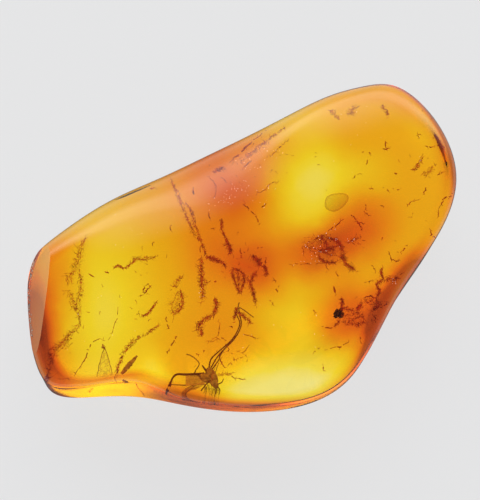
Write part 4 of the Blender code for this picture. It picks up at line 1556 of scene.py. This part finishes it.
# The light's colour, and how bright the plain background is past the floor
LIGHT_COLOUR = (1, 0.99, 0.98, 1)
BACKGROUND = 0.82
class OBJECT_OT_amber_stage(bpy.types.Operator):
    """Lay the pale floor and set the soft studio light and the camera"""
    bl_idname = "object.amber_stage"
    bl_label = "Amber Stage"
    bl_options = {"REGISTER", "UNDO"}

    def execute(self, context):
        settings = context.scene.amber_stage
        start_clean()
        bpy.ops.mesh.primitive_plane_add(
            size=settings.floor_size, location=(0, 0, -FLOOR_GAP * MM))
        floor = named(context.object, "pale_floor")
        made, nodes, shader = new_material(
            "pale_floor", Base_Color=FLOOR_COLOUR, Roughness=1.0, Emission_Color=GLOW_COLOUR)
        nodes.link(self.floor_light(nodes, settings), shader.inputs["Emission Strength"])
        floor.data.materials.append(made)
        self.light_studio(context, settings)

        bpy.ops.object.camera_add(
            location=EYE, rotation=(math.radians(90) - CAMERA_ELEVATION, 0, 0))
        camera = named(context.object, "camera")
        camera.data.lens = LENS
        camera.data.sensor_width = SENSOR
        camera.data.sensor_fit = "HORIZONTAL"
        camera.data.clip_start = MM
        context.scene.camera = camera
        context.scene.view_settings.view_transform = "Standard"
        return {"FINISHED"}

    def floor_light(self, nodes, settings):
        """The floor's glow, as it is seen straight, through the amber and in its polish."""
        pebble = nodes.in_oval(
            nodes.where(), spot(*MIDDLE, 0), LONG_AXIS_TURN, HALF_LENGTH, HALF_WIDTH)
        away = nodes.vectors("LENGTH", pebble)["Value"]
        mirrored = nodes.remap(away, SHADE_START, SHADE_END, SHADE_GAIN)
        path = nodes.add("ShaderNodeLightPath").outputs
        gain = nodes.mix(path["Is Glossy Ray"], 1.0, mirrored)
        gain = nodes.mix(path["Is Transmission Ray"], gain, THROUGH_GAIN)
        return nodes.maths("MULTIPLY", gain, settings.floor_glow)

    def light_studio(self, context, settings):
        """A dim ceiling and a bright wall behind, as the polish mirrors them."""
        world = bpy.data.worlds.new("studio")
        context.scene.world = world
        world.use_nodes = True
        nodes = Nodes(world.node_tree)
        axes = nodes.axes("Generated")
        wall = nodes.remap(axes["Y"], *WALL_EDGES, settings.zenith, settings.back_light,
                           kind="SMOOTHSTEP")
        height = nodes.remap(axes["Z"], 0, WALL_TOP, HORIZON_SHARE, kind="SMOOTHSTEP")
        around = nodes.remap(axes["Z"], 0, LOW_LIGHT_TOP, settings.horizon, 0)
        studio = nodes.maths("ADD", nodes.maths("MULTIPLY", wall, height), around)
        seen = nodes.add("ShaderNodeLightPath").outputs["Is Camera Ray"]
        background = world.node_tree.nodes["Background"]
        background.inputs["Color"].default_value = LIGHT_COLOUR
        nodes.link(nodes.mix(seen, studio, BACKGROUND), background.inputs["Strength"])


class VIEW3D_PT_amber(bpy.types.Panel):
    """The steps that build the pebble"""
    bl_label = "Gnat in Amber"
    bl_space_type = "VIEW_3D"
    bl_region_type = "UI"
    bl_category = "Amber"

    def draw(self, context):
        for step in STEPS:
            self.layout.operator(step.bl_idname)


STEPS = (
    OBJECT_OT_amber_stage,
    OBJECT_OT_amber_pebble,
    OBJECT_OT_amber_gnat,
    OBJECT_OT_amber_plants,
    OBJECT_OT_amber_cracks,
    OBJECT_OT_amber_flecks,
    OBJECT_OT_amber_traces,
)
SETTINGS = {
    "amber": AmberSettings,
    "amber_gnat": GnatSettings,
    "amber_plants": PlantSettings,
    "amber_cracks": CrackSettings,
    "amber_stage": StageSettings,
}


def register():
    for kind in (*SETTINGS.values(), *STEPS, VIEW3D_PT_amber):
        bpy.utils.register_class(kind)
    for name, kind in SETTINGS.items():
        setattr(bpy.types.Scene, name, bpy.props.PointerProperty(type=kind))


def unregister():
    for name in SETTINGS:
        delattr(bpy.types.Scene, name)
    for kind in reversed((*SETTINGS.values(), *STEPS, VIEW3D_PT_amber)):
        bpy.utils.unregister_class(kind)


def main():
    register()
    for step in STEPS:
        group, name = step.bl_idname.split(".")
        getattr(getattr(bpy.ops, group), name)()


if __name__ == "__main__":
    main()
